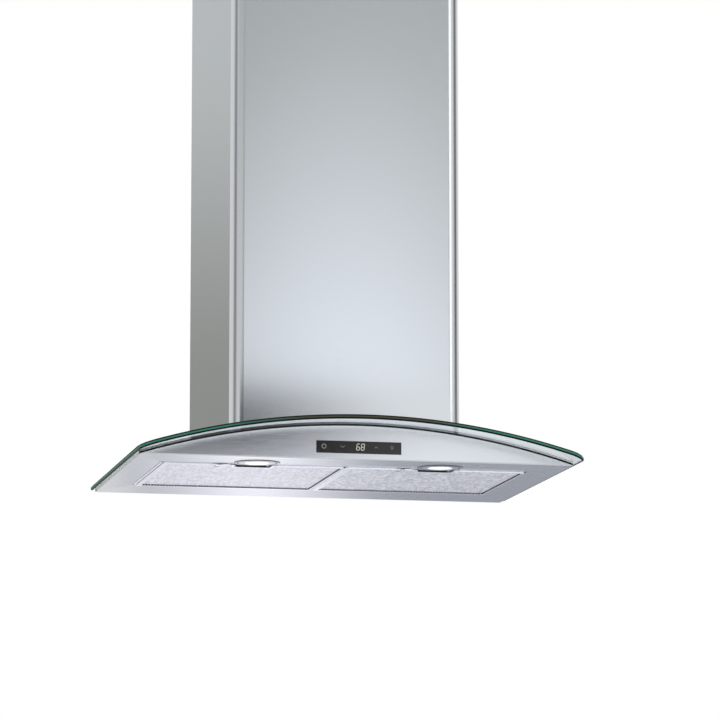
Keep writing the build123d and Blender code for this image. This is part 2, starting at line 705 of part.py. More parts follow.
def lamp_module():
    """Light-emitting board on the can's ceiling."""
    ceiling = LAMP_CAN_HEIGHT - LAMP_CAN_WALL
    board = rod_z(LENS_DIAMETER / 2, ceiling - BOARD_THICKNESS, ceiling, 0, 0)
    chip_top = ceiling - BOARD_THICKNESS
    for turn in (0, 120, 240):
        chip = Pos(CHIP_CIRCLE, 0, chip_top - CHIP_HEIGHT / 2) * Box(CHIP_WIDTH, CHIP_WIDTH, CHIP_HEIGHT)
        board += Rot(0, 0, turn) * chip
    return board


def make_lamps():
    left = Pos(-FILTER_X, LAMP_D, 0)
    right = Pos(FILTER_X, LAMP_D, 0)
    for name, place in (("left", left), ("right", right)):
        keep("lamp_ring_" + name, on_strip(place * lamp_ring()))
        keep("lamp_lens_" + name, on_strip(place * lamp_lens()))
    keep("lamp_cans", *[on_strip(place * lamp_can()) for place in (left, right)])
    keep("lamp_modules", *[on_strip(place * lamp_module()) for place in (left, right)])


# ---- grease filters --------------------------------------------------------------------------------
def filter_plan(inset, z0, z1):
    """The filter's outline, set in by the given width, with its recess round the lamp tab."""
    half = FILTER_WIDTH / 2 - inset
    body = block(-half, half, FILTER_FRONT + inset, FILTER_REAR - inset, z0, z1)
    notch = LAMP_TAB_WIDTH / 2 + FILTER_GAP + inset
    return body - block(-notch, notch, FILTER_FRONT - OVER, TAB_REAR + FILTER_GAP + inset, z0, z1)


def latch_places_y():
    """Rear end of the latch's plate, at rest, and the stop that its spring leans on."""
    plate_rear = FILTER_FRONT + FILTER_SHEET + LATCH_PLATE_DEPTH
    return plate_rear, plate_rear + LATCH_TRAVEL + SPRING_STOP_GAP


def latch_pocket(margin, z0, z1):
    """Room for the latch behind the filter's front edge."""
    half = LATCH_WIDTH / 2 + margin
    rear = latch_places_y()[0] + LATCH_TRAVEL + POCKET_SPARE + margin
    return block(LATCH_OFFSET - half, LATCH_OFFSET + half, FILTER_FRONT - OVER, rear, z0, z1)


def window(z0, z1):
    """The see-through part of the filter."""
    half = FILTER_WIDTH / 2 - FILTER_RIM_SIDE
    front = FILTER_FRONT + FILTER_RIM_FRONT
    hole = block(-half, half, front, FILTER_REAR - FILTER_RIM_REAR, z0, z1)
    notch = LAMP_TAB_WIDTH / 2 + FILTER_GAP + FILTER_RIM_FRONT
    rear = TAB_REAR + FILTER_GAP + FILTER_RIM_FRONT
    return hole - block(-notch, notch, FILTER_FRONT, rear, z0, z1)


def fin_span():
    """Front and rear ends of the latch's fin, at rest."""
    rear = latch_places_y()[0] - FIN_INSET
    return rear - FIN_DEPTH, rear


def filter_frame():
    sheet = FILTER_SHEET
    frame = filter_plan(0, FILTER_Z, FILTER_TOP)
    frame -= filter_plan(sheet, FILTER_FLOOR, FILTER_TOP - sheet)
    land = latch_pocket(LATCH_LAND, FILTER_Z - OVER, FILTER_FLOOR)
    frame -= window(FILTER_Z - OVER, FILTER_FLOOR) - land
    frame -= window(FILTER_TOP - sheet, FILTER_TOP + OVER)
    # slot for the fin, and the bolt's way out through the front edge
    fin_front, fin_rear = fin_span()
    slot = FIN_WIDTH / 2 + FIN_GAP
    slot_rear = fin_rear + LATCH_TRAVEL + FIN_GAP
    frame -= block(
        LATCH_OFFSET - slot, LATCH_OFFSET + slot, fin_front - FIN_GAP, slot_rear,
        FILTER_Z - OVER, FILTER_FLOOR,
    )
    bolt = LATCH_WIDTH / 2 + LATCH_CLEARANCE
    bolt_top = FILTER_FLOOR + LATCH_THICKNESS + 2 * LATCH_CLEARANCE
    frame -= block(
        LATCH_OFFSET - bolt, LATCH_OFFSET + bolt, FILTER_FRONT - OVER, FILTER_FRONT + sheet,
        FILTER_FLOOR, bolt_top,
    )
    stop_y = latch_places_y()[1]
    stop_half = SPRING_STOP_WIDTH / 2
    frame += block(
        LATCH_OFFSET - stop_half, LATCH_OFFSET + stop_half, stop_y, stop_y + sheet,
        FILTER_FLOOR, FILTER_FLOOR + 3 * SPRING_RADIUS,
    )
    # hinge arms and rods at the rear
    half = HINGE_ARM_WIDTH / 2
    arm_z = HINGE_ARM_THICKNESS / 2
    for side in (-1, 1):
        x = side * HINGE_SPACING / 2
        frame += block(
            x - half, x + half, FILTER_REAR - sheet, HINGE_Y, HINGE_Z - arm_z, HINGE_Z + arm_z
        )
        end = HINGE_ROD_LENGTH / 2
        frame += rod_x(HINGE_ROD_RADIUS, x - end, x + end, HINGE_Y, HINGE_Z)
    return frame


def net_gaps():
    """Staggered diamond gaps of the expanded metal, clear of the lamp recess and the latch."""
    left = -FILTER_WIDTH / 2 + FILTER_RIM_SIDE
    front = FILTER_FRONT + FILTER_RIM_FRONT
    pitch_x = -2 * left / (MESH_COLUMNS + 0.5)
    pitch_y = (FILTER_REAR - FILTER_RIM_REAR - front) / (MESH_ROWS + 0.5)
    half_x = (pitch_x - MESH_STRAND) / 2
    half_y = pitch_y - MESH_STRAND
    recess = LAMP_TAB_WIDTH / 2 + FILTER_GAP + FILTER_RIM_FRONT
    recess_rear = TAB_REAR + FILTER_GAP + FILTER_RIM_FRONT
    pocket = LATCH_WIDTH / 2 + FILTER_RIM_FRONT
    pocket_rear = latch_places_y()[1] + FILTER_RIM_FRONT
    gaps = []
    for row in range(MESH_ROWS - 1):
        for column in range(MESH_COLUMNS):
            x = left + pitch_x * (column + 0.5 + 0.5 * (row % 2))
            y = front + pitch_y * (row + 1)
            by_lamp = abs(x) < recess + half_x and y < recess_rear + half_y
            by_latch = abs(x - LATCH_OFFSET) < pocket + half_x and y < pocket_rear + half_y
            if by_lamp or by_latch:
                continue
            corners = [(x - half_x, y), (x, y - half_y), (x + half_x, y), (x, y + half_y)]
            gaps.append(make_face(Polyline(*corners, close=True)))
    return gaps


def filter_mesh():
    """Outer layer of expanded metal, lying on the rolled rim."""
    top = FILTER_FLOOR + MESH_THICKNESS
    mesh = filter_plan(FILTER_SHEET, FILTER_FLOOR, top)
    mesh -= latch_pocket(LATCH_MESH_GAP, FILTER_FLOOR - OVER, top + OVER)
    return mesh - [Pos(0, 0, FILTER_FLOOR) * extrude(gap, MESH_THICKNESS) for gap in net_gaps()]


def filter_core():
    """Finer layers above it, as one pad."""
    bottom = FILTER_FLOOR + MESH_THICKNESS
    top = FILTER_TOP - FILTER_SHEET
    pad = filter_plan(FILTER_SHEET, bottom, top)
    return pad - latch_pocket(LATCH_MESH_GAP, bottom - OVER, top + OVER)


def filter_latch():
    """Sliding plate with the bolt at its front and a finger fin below."""
    half = LATCH_WIDTH / 2
    z0 = FILTER_FLOOR + LATCH_CLEARANCE / 2
    z1 = z0 + LATCH_THICKNESS
    front = FILTER_FRONT - LATCH_REACH
    plate = block(LATCH_OFFSET - half, LATCH_OFFSET + half, front, latch_places_y()[0], z0, z1)
    fin_half = FIN_WIDTH / 2
    fin = block(LATCH_OFFSET - fin_half, LATCH_OFFSET + fin_half, *fin_span(), FILTER_Z - FIN_DROP, z0)
    return plate + fin


def latch_spring():
    """Small coil spring between the latch's plate and its stop, drawn as a sleeve."""
    plate_rear, stop = latch_places_y()
    z = FILTER_FLOOR + SPRING_RADIUS + LATCH_CLEARANCE / 2
    sleeve = rod_y(SPRING_RADIUS, plate_rear, stop, LATCH_OFFSET, z)
    return sleeve - rod_y(SPRING_RADIUS - SPRING_WIRE, plate_rear, stop, LATCH_OFFSET, z)


def filter_catch(x):
    """Leaf spring on the strip; its raised nose bridges the strip's notch under the bolt."""
    half = LATCH_WIDTH / 2
    thick = CATCH_THICKNESS
    nose_front = bolt_notch_front()
    nose_rear = OPENING_FRONT - BODY_SHEET
    nose_top = FILTER_FLOOR + LATCH_CLEARANCE / 2
    rise_y = nose_front - CATCH_RISE
    rise_z = strip_bottom(rise_y) + BODY_SHEET
    front = nose_front - CATCH_DEPTH
    front_z = strip_bottom(front) + BODY_SHEET
    outline = [
        (front, front_z),
        (rise_y, rise_z),
        (nose_front, nose_top - thick),
        (nose_rear, nose_top - thick),
        (nose_rear, nose_top),
        (nose_front, nose_top),
        (rise_y, rise_z + thick),
        (front, front_z + thick),
    ]
    leaf = make_face(Polyline(*outline, close=True))
    return Plane.YZ.offset(x - half) * extrude(leaf, 2 * half)


def make_filters():
    frame = filter_frame()
    mesh = filter_mesh()
    core = filter_core()
    latch = filter_latch()
    spring = latch_spring()
    for name, x, latch_x in zip(("left", "right"), (-FILTER_X, FILTER_X), latch_places()):
        keep("filter_frame_" + name, Pos(x, 0, 0) * frame)
        keep("filter_mesh_" + name, Pos(x, 0, 0) * mesh)
        keep("filter_core_" + name, Pos(x, 0, 0) * core)
        keep("filter_latch_" + name, Pos(x, 0, 0) * latch)
        keep("latch_spring_" + name, Pos(x, 0, 0) * spring)
        keep("filter_catch_" + name, filter_catch(latch_x))


# ---- motor housing ---------------------------------------------------------------------------------
def motor_housing():
    """Four folded walls standing on the body, with a foot that follows the bend."""
    sheet = HOUSING_SHEET
    half = HOUSING_HALF
    walls = block(-half, half, -HOUSING_DEPTH, 0, BODY_Z, HOUSING_TOP)
    inner_top = HOUSING_TOP - sheet
    walls -= block(-half + sheet, half - sheet, -HOUSING_DEPTH + sheet, -sheet, BODY_Z, inner_top)
    lip = HOUSING_LIP
    walls -= block(-half + lip, half - lip, -HOUSING_DEPTH + lip, -lip, BODY_Z, HOUSING_TOP)
    walls -= arch(SEAL_RADIUS, -HOUSING_DEPTH, 0)
    foot_half = half + HOUSING_FLANGE
    foot = arch_layer(SEAL_RADIUS, SEAL_RADIUS + sheet, foot_half, -HOUSING_DEPTH - HOUSING_FLANGE, 0)
    foot -= block(-half + sheet, half - sheet, -HOUSING_DEPTH + sheet, 0, BODY_Z, GLASS_Z + OVER)
    walls += foot
    for side in (-1, 1):
        walls -= rod_y(HANG_HOLE_RADIUS, -2 * sheet, sheet, side * HANG_SPACING / 2, 0)
    return walls - screw_holes(plate_screw_places())


def housing_top():
    """Plate on the housing, with the outlet hole and the cable gland's hole."""
    half = HOUSING_HALF
    plate = block(-half, half, -HOUSING_DEPTH, 0, HOUSING_TOP, PLATE_TOP)
    plate -= rod_z(COLLAR_BORE - FLAP_STOP, HOUSING_TOP - OVER, PLATE_TOP + OVER, 0, COLLAR_Y)
    x, y = gland_place()
    plate -= rod_z(GLAND_THREAD_RADIUS, HOUSING_TOP - OVER, PLATE_TOP + OVER, x, y)
    return plate - screw_holes(plate_screw_places() + scroll_screw_places() + collar_screw_places())


def gland_place():
    return HOUSING_HALF - GLAND_INSET, -GLAND_INSET


def cable_gland():
    """Threaded gland: hexagon, stem through the plate, nut below, domed cap above."""
    nut = extrude(RegularPolygon(GLAND_RADIUS, 6), GLAND_NUT_HEIGHT)
    cap = extrude(Circle(GLAND_CAP_RADIUS), GLAND_HEIGHT - GLAND_NUT_HEIGHT)
    cap = fillet(cap.edges().sort_by(Axis.Z)[-1], GLAND_CAP_ROUND)
    below = HOUSING_SHEET + GLAND_NUT_HEIGHT
    gland = nut + Pos(0, 0, GLAND_NUT_HEIGHT) * cap + Pos(0, 0, -below) * nut
    gland += rod_z(GLAND_THREAD_RADIUS, -below, 0, 0, 0)
    gland -= rod_z(GLAND_BORE, -below - OVER, GLAND_HEIGHT + OVER, 0, 0)
    x, y = gland_place()
    return Pos(x, y, PLATE_TOP) * gland


def make_housing():
    keep("motor_housing", motor_housing())
    keep("housing_top", housing_top())
    keep("cable_gland", cable_gland())
    wall = HOUSING_HALF - HOUSING_SHEET
    middle = -HOUSING_DEPTH / 2
    z = GLASS_Z + BOX_PARTS_HEIGHT
    end = CAPACITOR_LENGTH / 2
    centre_x = -wall + CAPACITOR_RADIUS
    centre_z = z + CAPACITOR_RADIUS
    keep("motor_capacitor", rod_y(CAPACITOR_RADIUS, middle - end, middle + end, centre_x, centre_z))
    end = DRIVER_LENGTH / 2
    driver = block(wall - DRIVER_WIDTH, wall, middle - end, middle + end, z, z + DRIVER_HEIGHT)
    keep("lamp_driver", chamfer(driver.edges().filter_by(Axis.Y), DRIVER_CORNER))


# ---- blower ----------------------------------------------------------------------------------------
def scroll_outline(grow, top):
    """Spiral of three quarter circles, each larger than the last, and the outlet above it."""
    first = SCROLL_RADIUS + grow
    step = SCROLL_STEP
    tongue = OUTLET_REAR + grow
    start = degrees(atan2(sqrt(first ** 2 - tongue ** 2), tongue))
    left = -(first + 3 * step)
    spiral = [
        CenterArc((0, 0), first, start, -start),
        CenterArc((-step, 0), first + step, 0, -90),
        CenterArc((-step, step), first + 2 * step, -90, -90),
    ]
    outlet = Polyline((left, step), (left, top), (tongue, top), spiral[0] @ 0)
    return make_face(spiral + outlet.edges())


def scroll_half(side):
    """One half of the scroll, split in the plane of the impeller's disc; side is -1 or 1."""
    half = SCROLL_WIDTH / 2
    top = HOUSING_TOP - BLOWER_Z
    wall = SCROLL_WALL
    shell = Plane.YZ * extrude(scroll_outline(wall, top), half)
    shell -= Plane.YZ * extrude(scroll_outline(0, top), half - wall)
    shell -= rod_x(INLET_RADIUS, half - 2 * wall, half + wall, 0, 0)
    front = OUTLET_FRONT - wall
    rear = OUTLET_REAR + wall
    lip = SCROLL_FLANGE
    flange = block(0, half + lip, front - lip, rear + lip, top - SCROLL_FLANGE_THICKNESS, top)
    flange -= block(0, half - wall, OUTLET_FRONT, OUTLET_REAR, top - 2 * SCROLL_FLANGE_THICKNESS, top)
    shell += flange
    if side < 0:
        shell = mirror(shell, Plane.YZ)
    return Pos(0, BLOWER_Y, BLOWER_Z) * shell - screw_holes(scroll_screw_places())


def impeller():
    """Two rows of blades on one disc, between two end rings."""
    half = IMPELLER_WIDTH / 2
    middle = IMPELLER_RADIUS - BLADE_DEPTH / 2
    inner = IMPELLER_RADIUS - BLADE_DEPTH
    blade = Pos(0, 0, middle) * Rot(BLADE_PITCH, 0, 0) * Box(
        IMPELLER_WIDTH - END_RING_THICKNESS, BLADE_THICKNESS, BLADE_DEPTH
    )
    wheel = rod_x(IMPELLER_RADIUS - HUB_EDGE, -HUB_THICKNESS / 2, HUB_THICKNESS / 2, 0, 0)
    wheel += rod_x(HUB_BOSS_RADIUS, -HUB_BOSS_LEFT, HUB_BOSS_RIGHT, 0, 0)
    ring = rod_x(IMPELLER_RADIUS, -END_RING_THICKNESS / 2, END_RING_THICKNESS / 2, 0, 0)
    ring -= rod_x(inner, -END_RING_THICKNESS, END_RING_THICKNESS, 0, 0)
    rings = [Pos(side * (half - END_RING_THICKNESS / 2), 0, 0) * ring for side in (-1, 1)]
    blades = [Rot(step * 360 / BLADE_COUNT, 0, 0) * blade for step in range(BLADE_COUNT)]
    wheel = wheel.fuse(*rings, *blades)
    return wheel - rod_x(SHAFT_RADIUS, -half, half, 0, 0)


def motor_places():
    """The motor's ends along X: it stands in the left half of the impeller."""
    left = -SCROLL_WIDTH / 2
    return left, left + MOTOR_LENGTH


def motor_casing():
    left, right = motor_places()
    casing = rod_x(MOTOR_RADIUS, left, right, 0, 0)
    casing -= rod_x(MOTOR_RADIUS - MOTOR_WALL, left + MOTOR_END_WALL, right - MOTOR_END_WALL, 0, 0)
    return casing - rod_x(BEARING_RADIUS, left - OVER, right + OVER, 0, 0)


def motor_spider():
    """Ring on the scroll's left side and three arms to the plate that carries the motor."""
    face = -SCROLL_WIDTH / 2
    back = face - SPIDER_THICKNESS
    ring = rod_x(INLET_RADIUS + SPIDER_RING, back, face, 0, 0)
    ring -= rod_x(INLET_RADIUS, back - OVER, face + OVER, 0, 0)
    ring += rod_x(SPIDER_PLATE_RADIUS, back, face, 0, 0)
    half = SPIDER_ARM_WIDTH / 2
    arm = block(back, face, -half, half, 0, INLET_RADIUS + SPIDER_RING / 2)
    for turn in (0, 120, 240):
        ring += Rot(turn, 0, 0) * arm
    return ring - rod_x(BEARING_RADIUS, back - OVER, face + OVER, 0, 0)


def make_blower():
    axis = Pos(0, BLOWER_Y, BLOWER_Z)
    left, right = motor_places()
    keep("scroll_left", scroll_half(-1))
    keep("scroll_right", scroll_half(1))
    keep("impeller", axis * impeller())
    keep("motor_casing", axis * motor_casing())
    middle = (left + right) / 2
    end = STATOR_LENGTH / 2
    stator = rod_x(MOTOR_RADIUS - MOTOR_WALL, middle - end, middle + end, 0, 0)
    stator -= rod_x(ROTOR_RADIUS + ROTOR_GAP, left, right, 0, 0)
    keep("motor_stator", axis * stator)
    rotor = rod_x(ROTOR_RADIUS, middle - ROTOR_LENGTH / 2, middle + ROTOR_LENGTH / 2, 0, 0)
    rotor -= rod_x(SHAFT_RADIUS, left, right, 0, 0)
    keep("motor_rotor", axis * rotor)
    shaft = rod_x(SHAFT_RADIUS, left + SHAFT_INSET, HUB_BOSS_RIGHT, 0, 0)
    keep("motor_shaft", axis * chamfer(shaft.edges(), SHAFT_ARRIS))
    bearings = []
    for start in (left, right - MOTOR_END_WALL):
        end = start + MOTOR_END_WALL
        bearing = rod_x(BEARING_RADIUS, start, end, 0, 0)
        bearing -= rod_x(SHAFT_RADIUS + SHAFT_CLEARANCE, start - OVER, end + OVER, 0, 0)
        bearings.append(axis * bearing)
    keep("motor_bearings", *bearings)
    keep("motor_spider", axis * motor_spider())


# ---- outlet collar ---------------------------------------------------------------------------------
def outlet_collar():
    """Spigot for the duct, with the ledge that the flaps close on."""
    collar = rod_z(COLLAR_RADIUS, 0, COLLAR_HEIGHT, 0, 0)
    collar += rod_z(COLLAR_RADIUS + COLLAR_FLANGE, 0, COLLAR_FLANGE_THICKNESS, 0, 0)
    collar -= rod_z(COLLAR_BORE, -OVER, COLLAR_HEIGHT + OVER, 0, 0)
    ledge_top = FLAP_HEIGHT - FLAP_THICKNESS / 2 - FLAP_REST_GAP
    ledge = rod_z(COLLAR_BORE, ledge_top - FLAP_THICKNESS, ledge_top, 0, 0)
    ledge -= rod_z(COLLAR_BORE - FLAP_STOP, 0, FLAP_HEIGHT, 0, 0)
    clear = KNUCKLE_RADIUS + LEDGE_GAP
    ledge -= block(-clear, clear, -COLLAR_RADIUS, COLLAR_RADIUS, 0, FLAP_HEIGHT)
    collar += ledge
    collar -= rod_y(SPINDLE_RADIUS, -COLLAR_RADIUS, COLLAR_RADIUS, 0, FLAP_HEIGHT)
    return Pos(0, COLLAR_Y, PLATE_TOP) * collar - screw_holes(collar_screw_places())


def damper_flap(side):
    """Half disc with two knuckles on the spindle; side is -1 or 1."""
    radius = COLLAR_BORE - FLAP_GAP
    half = FLAP_THICKNESS / 2
    start = KNUCKLE_RADIUS + FLAP_ROOT_GAP
    disc = rod_z(radius, -half, half, 0, 0) & block(start, radius, -radius, radius, -half, half)
    knuckle_step = KNUCKLE_LENGTH + KNUCKLE_GAP
    first = -2 * knuckle_step + KNUCKLE_GAP / 2
    if side > 0:
        first += knuckle_step
    for number in range(2):
        y0 = first + 2 * number * knuckle_step
        y1 = y0 + KNUCKLE_LENGTH
        disc += rod_y(KNUCKLE_RADIUS, y0, y1, 0, 0)
        disc += block(0, start + FLAP_THICKNESS, y0, y1, -half, half)
        disc -= rod_y(SPINDLE_RADIUS + KNUCKLE_CLEARANCE, y0 - OVER, y1 + OVER, 0, 0)
    if side < 0:
        disc = mirror(disc, Plane.YZ)
    return Pos(0, COLLAR_Y, FLAP_Z) * disc


def make_outlet():
    keep("outlet_collar", outlet_collar())
    front = COLLAR_Y - COLLAR_RADIUS
    rear = COLLAR_Y + COLLAR_RADIUS
    keep("damper_spindle", rod_y(SPINDLE_RADIUS, front, rear, 0, FLAP_Z))
    keep("damper_flap_left", damper_flap(-1))
    keep("damper_flap_right", damper_flap(1))


# ---- chimney covers ----------------------------------------------------------------------------------
def cover_shell(inset, sheet, z0, z1):
    """Three-sided cover with rounded front bends and flanges folded in at the wall."""
    half = COVER_HALF - inset
    front = -(COVER_DEPTH - inset)
    height = z1 - z0
    middle = (front - inset) / 2
    bend = COVER_BEND - inset
    outer = extrude(Rectangle(2 * half, -front - inset), height)
    outer = fillet(outer.edges().filter_by(Axis.Z).group_by(Axis.Y)[0], bend)
    inner = extrude(Rectangle(2 * (half - sheet), -front - inset - 2 * sheet), height)
    inner = fillet(inner.edges().filter_by(Axis.Z).group_by(Axis.Y)[0], bend - sheet)
    opening = half - COVER_RETURN
    shell = Pos(0, middle, z0) * (outer - inner)
    return shell - block(-opening, opening, -inset - 2 * sheet, 0, z0, z1)


def upper_screw_place():
    """Depth and height of the screws that join the upper cover to its wall bracket."""
    y = -UPPER_INSET - UPPER_COVER_SHEET - BRACKET_EAR / 2
    return y, UPPER_COVER_TOP - BRACKET_DROP - BRACKET_HEIGHT / 2


def upper_bracket():
    """Wall bracket in the top of the upper cover: a strip with two ears folded forwards."""
    sheet = BRACKET_SHEET
    half = COVER_HALF - UPPER_INSET - UPPER_COVER_SHEET
    rear = -UPPER_INSET - UPPER_COVER_SHEET
    top = UPPER_COVER_TOP - BRACKET_DROP
    bottom = top - BRACKET_HEIGHT
    screw_y, middle = upper_screw_place()
    bracket = block(-half, half, rear - BRACKET_EAR, rear, bottom, top)
    bracket -= block(-half + sheet, half - sheet, rear - BRACKET_EAR, rear - sheet, bottom, top)
    for side in (-1, 1):
        x = side * BRACKET_HOLE_SPACING / 2
        bracket -= rod_y(BRACKET_HOLE_RADIUS, rear - 2 * sheet, rear + OVER, x, middle)
    return bracket - rod_x(SCREW_RADIUS, -COVER_HALF, COVER_HALF, screw_y, middle)


def upper_cover():
    bottom = UPPER_COVER_TOP - UPPER_COVER_LENGTH
    shell = cover_shell(UPPER_INSET, UPPER_COVER_SHEET, bottom, UPPER_COVER_TOP)
    return shell - rod_x(SCREW_RADIUS, -COVER_HALF, COVER_HALF, *upper_screw_place())


def upper_screws():
    """Low head screws through the upper cover into the bracket's ears."""
    face = COVER_HALF - UPPER_INSET
    head = UPPER_COVER_GAP - COVER_SCREW_GAP
    end = face - UPPER_COVER_SHEET - BRACKET_SHEET - COVER_SCREW_END
    screw = rod_x(SCREW_RADIUS, end, face, *upper_screw_place())
    screw += rod_x(SCREW_HEAD_RADIUS, face, face + head, *upper_screw_place())
    return [screw, mirror(screw, Plane.YZ)]


def clip_screw_place():
    """Where the screw joins the right clip to the lower cover's wall flange, along X and Z."""
    return COVER_HALF - COVER_SHEET - COVER_RETURN / 2, GLASS_Z + CLIP_RAISE + CLIP_HEIGHT / 2


def cover_clip():
    """Angle on the housing's right side that holds the lower cover's wall flange."""
    sheet = BRACKET_SHEET
    z0 = GLASS_Z + CLIP_RAISE
    z1 = z0 + CLIP_HEIGHT
    rear = -COVER_SHEET
    clip = block(HOUSING_HALF, HOUSING_HALF + sheet, rear - CLIP_LEG, rear, z0, z1)
    clip += block(HOUSING_HALF, COVER_HALF - COVER_SHEET, rear - sheet, rear, z0, z1)
    return clip - rod_y(SCREW_RADIUS, rear - 2 * sheet, rear + OVER, *clip_screw_place())


def lower_cover():
    foot = GLASS_RADIUS + GLASS_THICKNESS
    bottom = GLASS_Z - BODY_DROP
    shell = cover_shell(0, COVER_SHEET, bottom, GLASS_Z + LOWER_COVER_TOP)
    shell -= arch(foot, -COVER_DEPTH - OVER, OVER)
    x, z = clip_screw_place()
    for side in (-1, 1):
        shell -= rod_y(SCREW_RADIUS, -2 * COVER_SHEET, OVER, side * x, z)
    return shell


def make_covers():
    keep("lower_cover", lower_cover())
    keep("upper_cover", upper_cover())
    keep("upper_bracket", upper_bracket())
    keep("upper_screws", *upper_screws())
    clip = cover_clip()
    keep("cover_clips", mirror(clip, Plane.YZ), clip)


# ---- pan head screws: one node ----------------------------------------------------------------------
def plate_screw_places():
    """Round the edge of the housing's top, into its lip."""
    inset = HOUSING_LIP / 2
    x = HOUSING_HALF - inset
    ys = (-inset, -HOUSING_DEPTH / 2, -HOUSING_DEPTH + inset)
    return [(side * x, y, PLATE_TOP) for side in (-1, 1) for y in ys]


def scroll_screw_places():
    """Through the housing's top into the scroll's flange."""
    x = SCROLL_WIDTH / 2 + SCROLL_FLANGE / 2
    front = BLOWER_Y + OUTLET_FRONT - SCROLL_WALL - SCROLL_FLANGE / 2
    rear = BLOWER_Y + OUTLET_REAR + SCROLL_WALL + SCROLL_FLANGE / 2
    return [(side * x, y, PLATE_TOP) for side in (-1, 1) for y in (front, rear)]


def collar_screw_places():
    ring = COLLAR_RADIUS + COLLAR_FLANGE / 2
    top = PLATE_TOP + COLLAR_FLANGE_THICKNESS
    return [(ring * x, COLLAR_Y + ring * y, top) for x, y in ((1, 0), (0, 1), (-1, 0), (0, -1))]


def make_pan_screws():
    screws = screw_group(plate_screw_places(), 2 * HOUSING_SHEET)
    screws += screw_group(scroll_screw_places(), HOUSING_SHEET + SCROLL_FLANGE_THICKNESS)
    screws += screw_group(collar_screw_places(), COLLAR_FLANGE_THICKNESS + HOUSING_SHEET)
    x, z = clip_screw_place()
    face = -COVER_SHEET - BRACKET_SHEET
    sideways = Rot(90, 0, 0) * pan_screw(COVER_SHEET + BRACKET_SHEET)
    screws += [Pos(side * x, face, z) * sideways for side in (-1, 1)]
    keep("pan_screws", *screws)


# ---- write the pieces ---------------------------------------------------------------------------------
tray = tray_volume()
make_glass(tray)
make_body(tray)
make_control()
make_electronics()
make_lamps()
make_filters()
make_housing()
make_blower()
make_outlet()
make_covers()
make_pan_screws()

os.makedirs("parts", exist_ok=True)
for name, shape in parts.items():
    export_step(shape, "parts/" + name + ".step")
print(len(parts), "pieces written")
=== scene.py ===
import math

import bmesh
import bpy
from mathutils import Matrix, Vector


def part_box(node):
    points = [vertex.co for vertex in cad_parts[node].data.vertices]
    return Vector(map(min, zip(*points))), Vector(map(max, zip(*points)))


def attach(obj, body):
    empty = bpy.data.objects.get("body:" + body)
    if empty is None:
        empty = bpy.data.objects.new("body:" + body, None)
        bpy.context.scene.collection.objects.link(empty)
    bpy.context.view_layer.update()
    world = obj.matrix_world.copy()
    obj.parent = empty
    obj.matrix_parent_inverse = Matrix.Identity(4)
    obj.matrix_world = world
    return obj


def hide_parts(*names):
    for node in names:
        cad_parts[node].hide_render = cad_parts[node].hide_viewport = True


bl_info = {
    "name": "Curved Glass Range Hood",
    "version": (1, 0, 0),
    "blender": (4, 5, 0),
    "location": "View3D > Sidebar > Hood",
    "description": "Models the visible pieces of a wall hood round its fixed frame",
    "category": "Add Mesh",
}

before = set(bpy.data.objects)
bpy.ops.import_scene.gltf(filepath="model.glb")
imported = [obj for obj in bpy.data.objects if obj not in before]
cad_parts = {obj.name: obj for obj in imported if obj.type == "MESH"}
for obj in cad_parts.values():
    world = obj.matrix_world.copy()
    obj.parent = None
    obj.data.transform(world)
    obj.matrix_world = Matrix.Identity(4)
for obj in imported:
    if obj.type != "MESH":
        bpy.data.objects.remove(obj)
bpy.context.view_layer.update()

MM = 0.001
ROOT = "hood"
SIDES = ("left", "right")
X, Y, Z = 0, 1, 2
NEAR = 0.05 * MM                # two places closer than this are the same


# ---- sizes and colours a user would change ----------------------------------------------------------
def linear(hex_value):
    """An sRGB hex colour as linear red, green, blue and alpha."""
    channels = [int(hex_value[start:start + 2], 16) / 255 for start in (1, 3, 5)]
    toe = 0.04045
    return (*[c / 12.92 if c <= toe else ((c + 0.055) / 1.055) ** 2.4 for c in channels], 1.0)


def length(name, description, millimetres):
    return bpy.props.FloatProperty(
        name=name, description=description, default=millimetres * MM, unit="LENGTH", precision=5
    )


def tint(name, description, hex_value):
    return bpy.props.FloatVectorProperty(
        name=name, description=description, default=linear(hex_value), size=4, subtype="COLOR",
        min=0.0, max=1.0,
    )


class HoodSizes(bpy.types.PropertyGroup):
    """Sizes of the modelled pieces."""

    glass_rise: length("Glass rise", "Middle of the glass's underside above its side edges", 46.8)
    glass_thickness: length("Glass thickness", "Thickness of the bent sheet", 6)
    glass_corner: length("Glass corner", "Plan radius of the two front corners", 22)
    glass_arris: length("Glass arris", "Width of the ground arris along the edges", 2.0)
    neck_gap: length("Neck gap", "Between the motor housing and the cut-out in the glass", 3)
    cover_bend: length("Cover bend", "Outer radius of the chimney's front bends", 18)
    cover_flange: length("Cover flange", "Flange folded in against the wall", 16)
    rim_left: length("Filter rim, left", "Width of a filter's rim at its left", 8.5)
    rim_right: length("Filter rim, right", "Width of a filter's rim at its right", 3)
    rim_front: length("Filter rim, front", "Width of the filter's rim at its front", 3)
    rim_rear: length("Filter rim, rear", "Width of the filter's rim at its rear", 6)
    rim_drop: length("Rim drop", "Rolled edge of the rim below the filter's solid", 2.5)
    rim_roll: length("Rim roll", "Radius of the rolled edges of the rim", 0.6)
    lip_reach: length("Lip reach", "Thin lip of the rim over the gap round the filter", 2.8)
    lip_inset: length("Lip inset", "Flat part of the rim beside its bead, at the lip's level", 2.0)
    diamond_pitch: length("Diamond pitch", "Rows of the outer expanded metal", 4.2)
    fine_pitch: length("Fine pitch", "Rows of the inner expanded metal", 2.8)
    digit_height: length("Digit height", "Height of the display's digits", 9.4)
    digit_stroke: length("Digit stroke", "Width of the display's segments", 1.15)


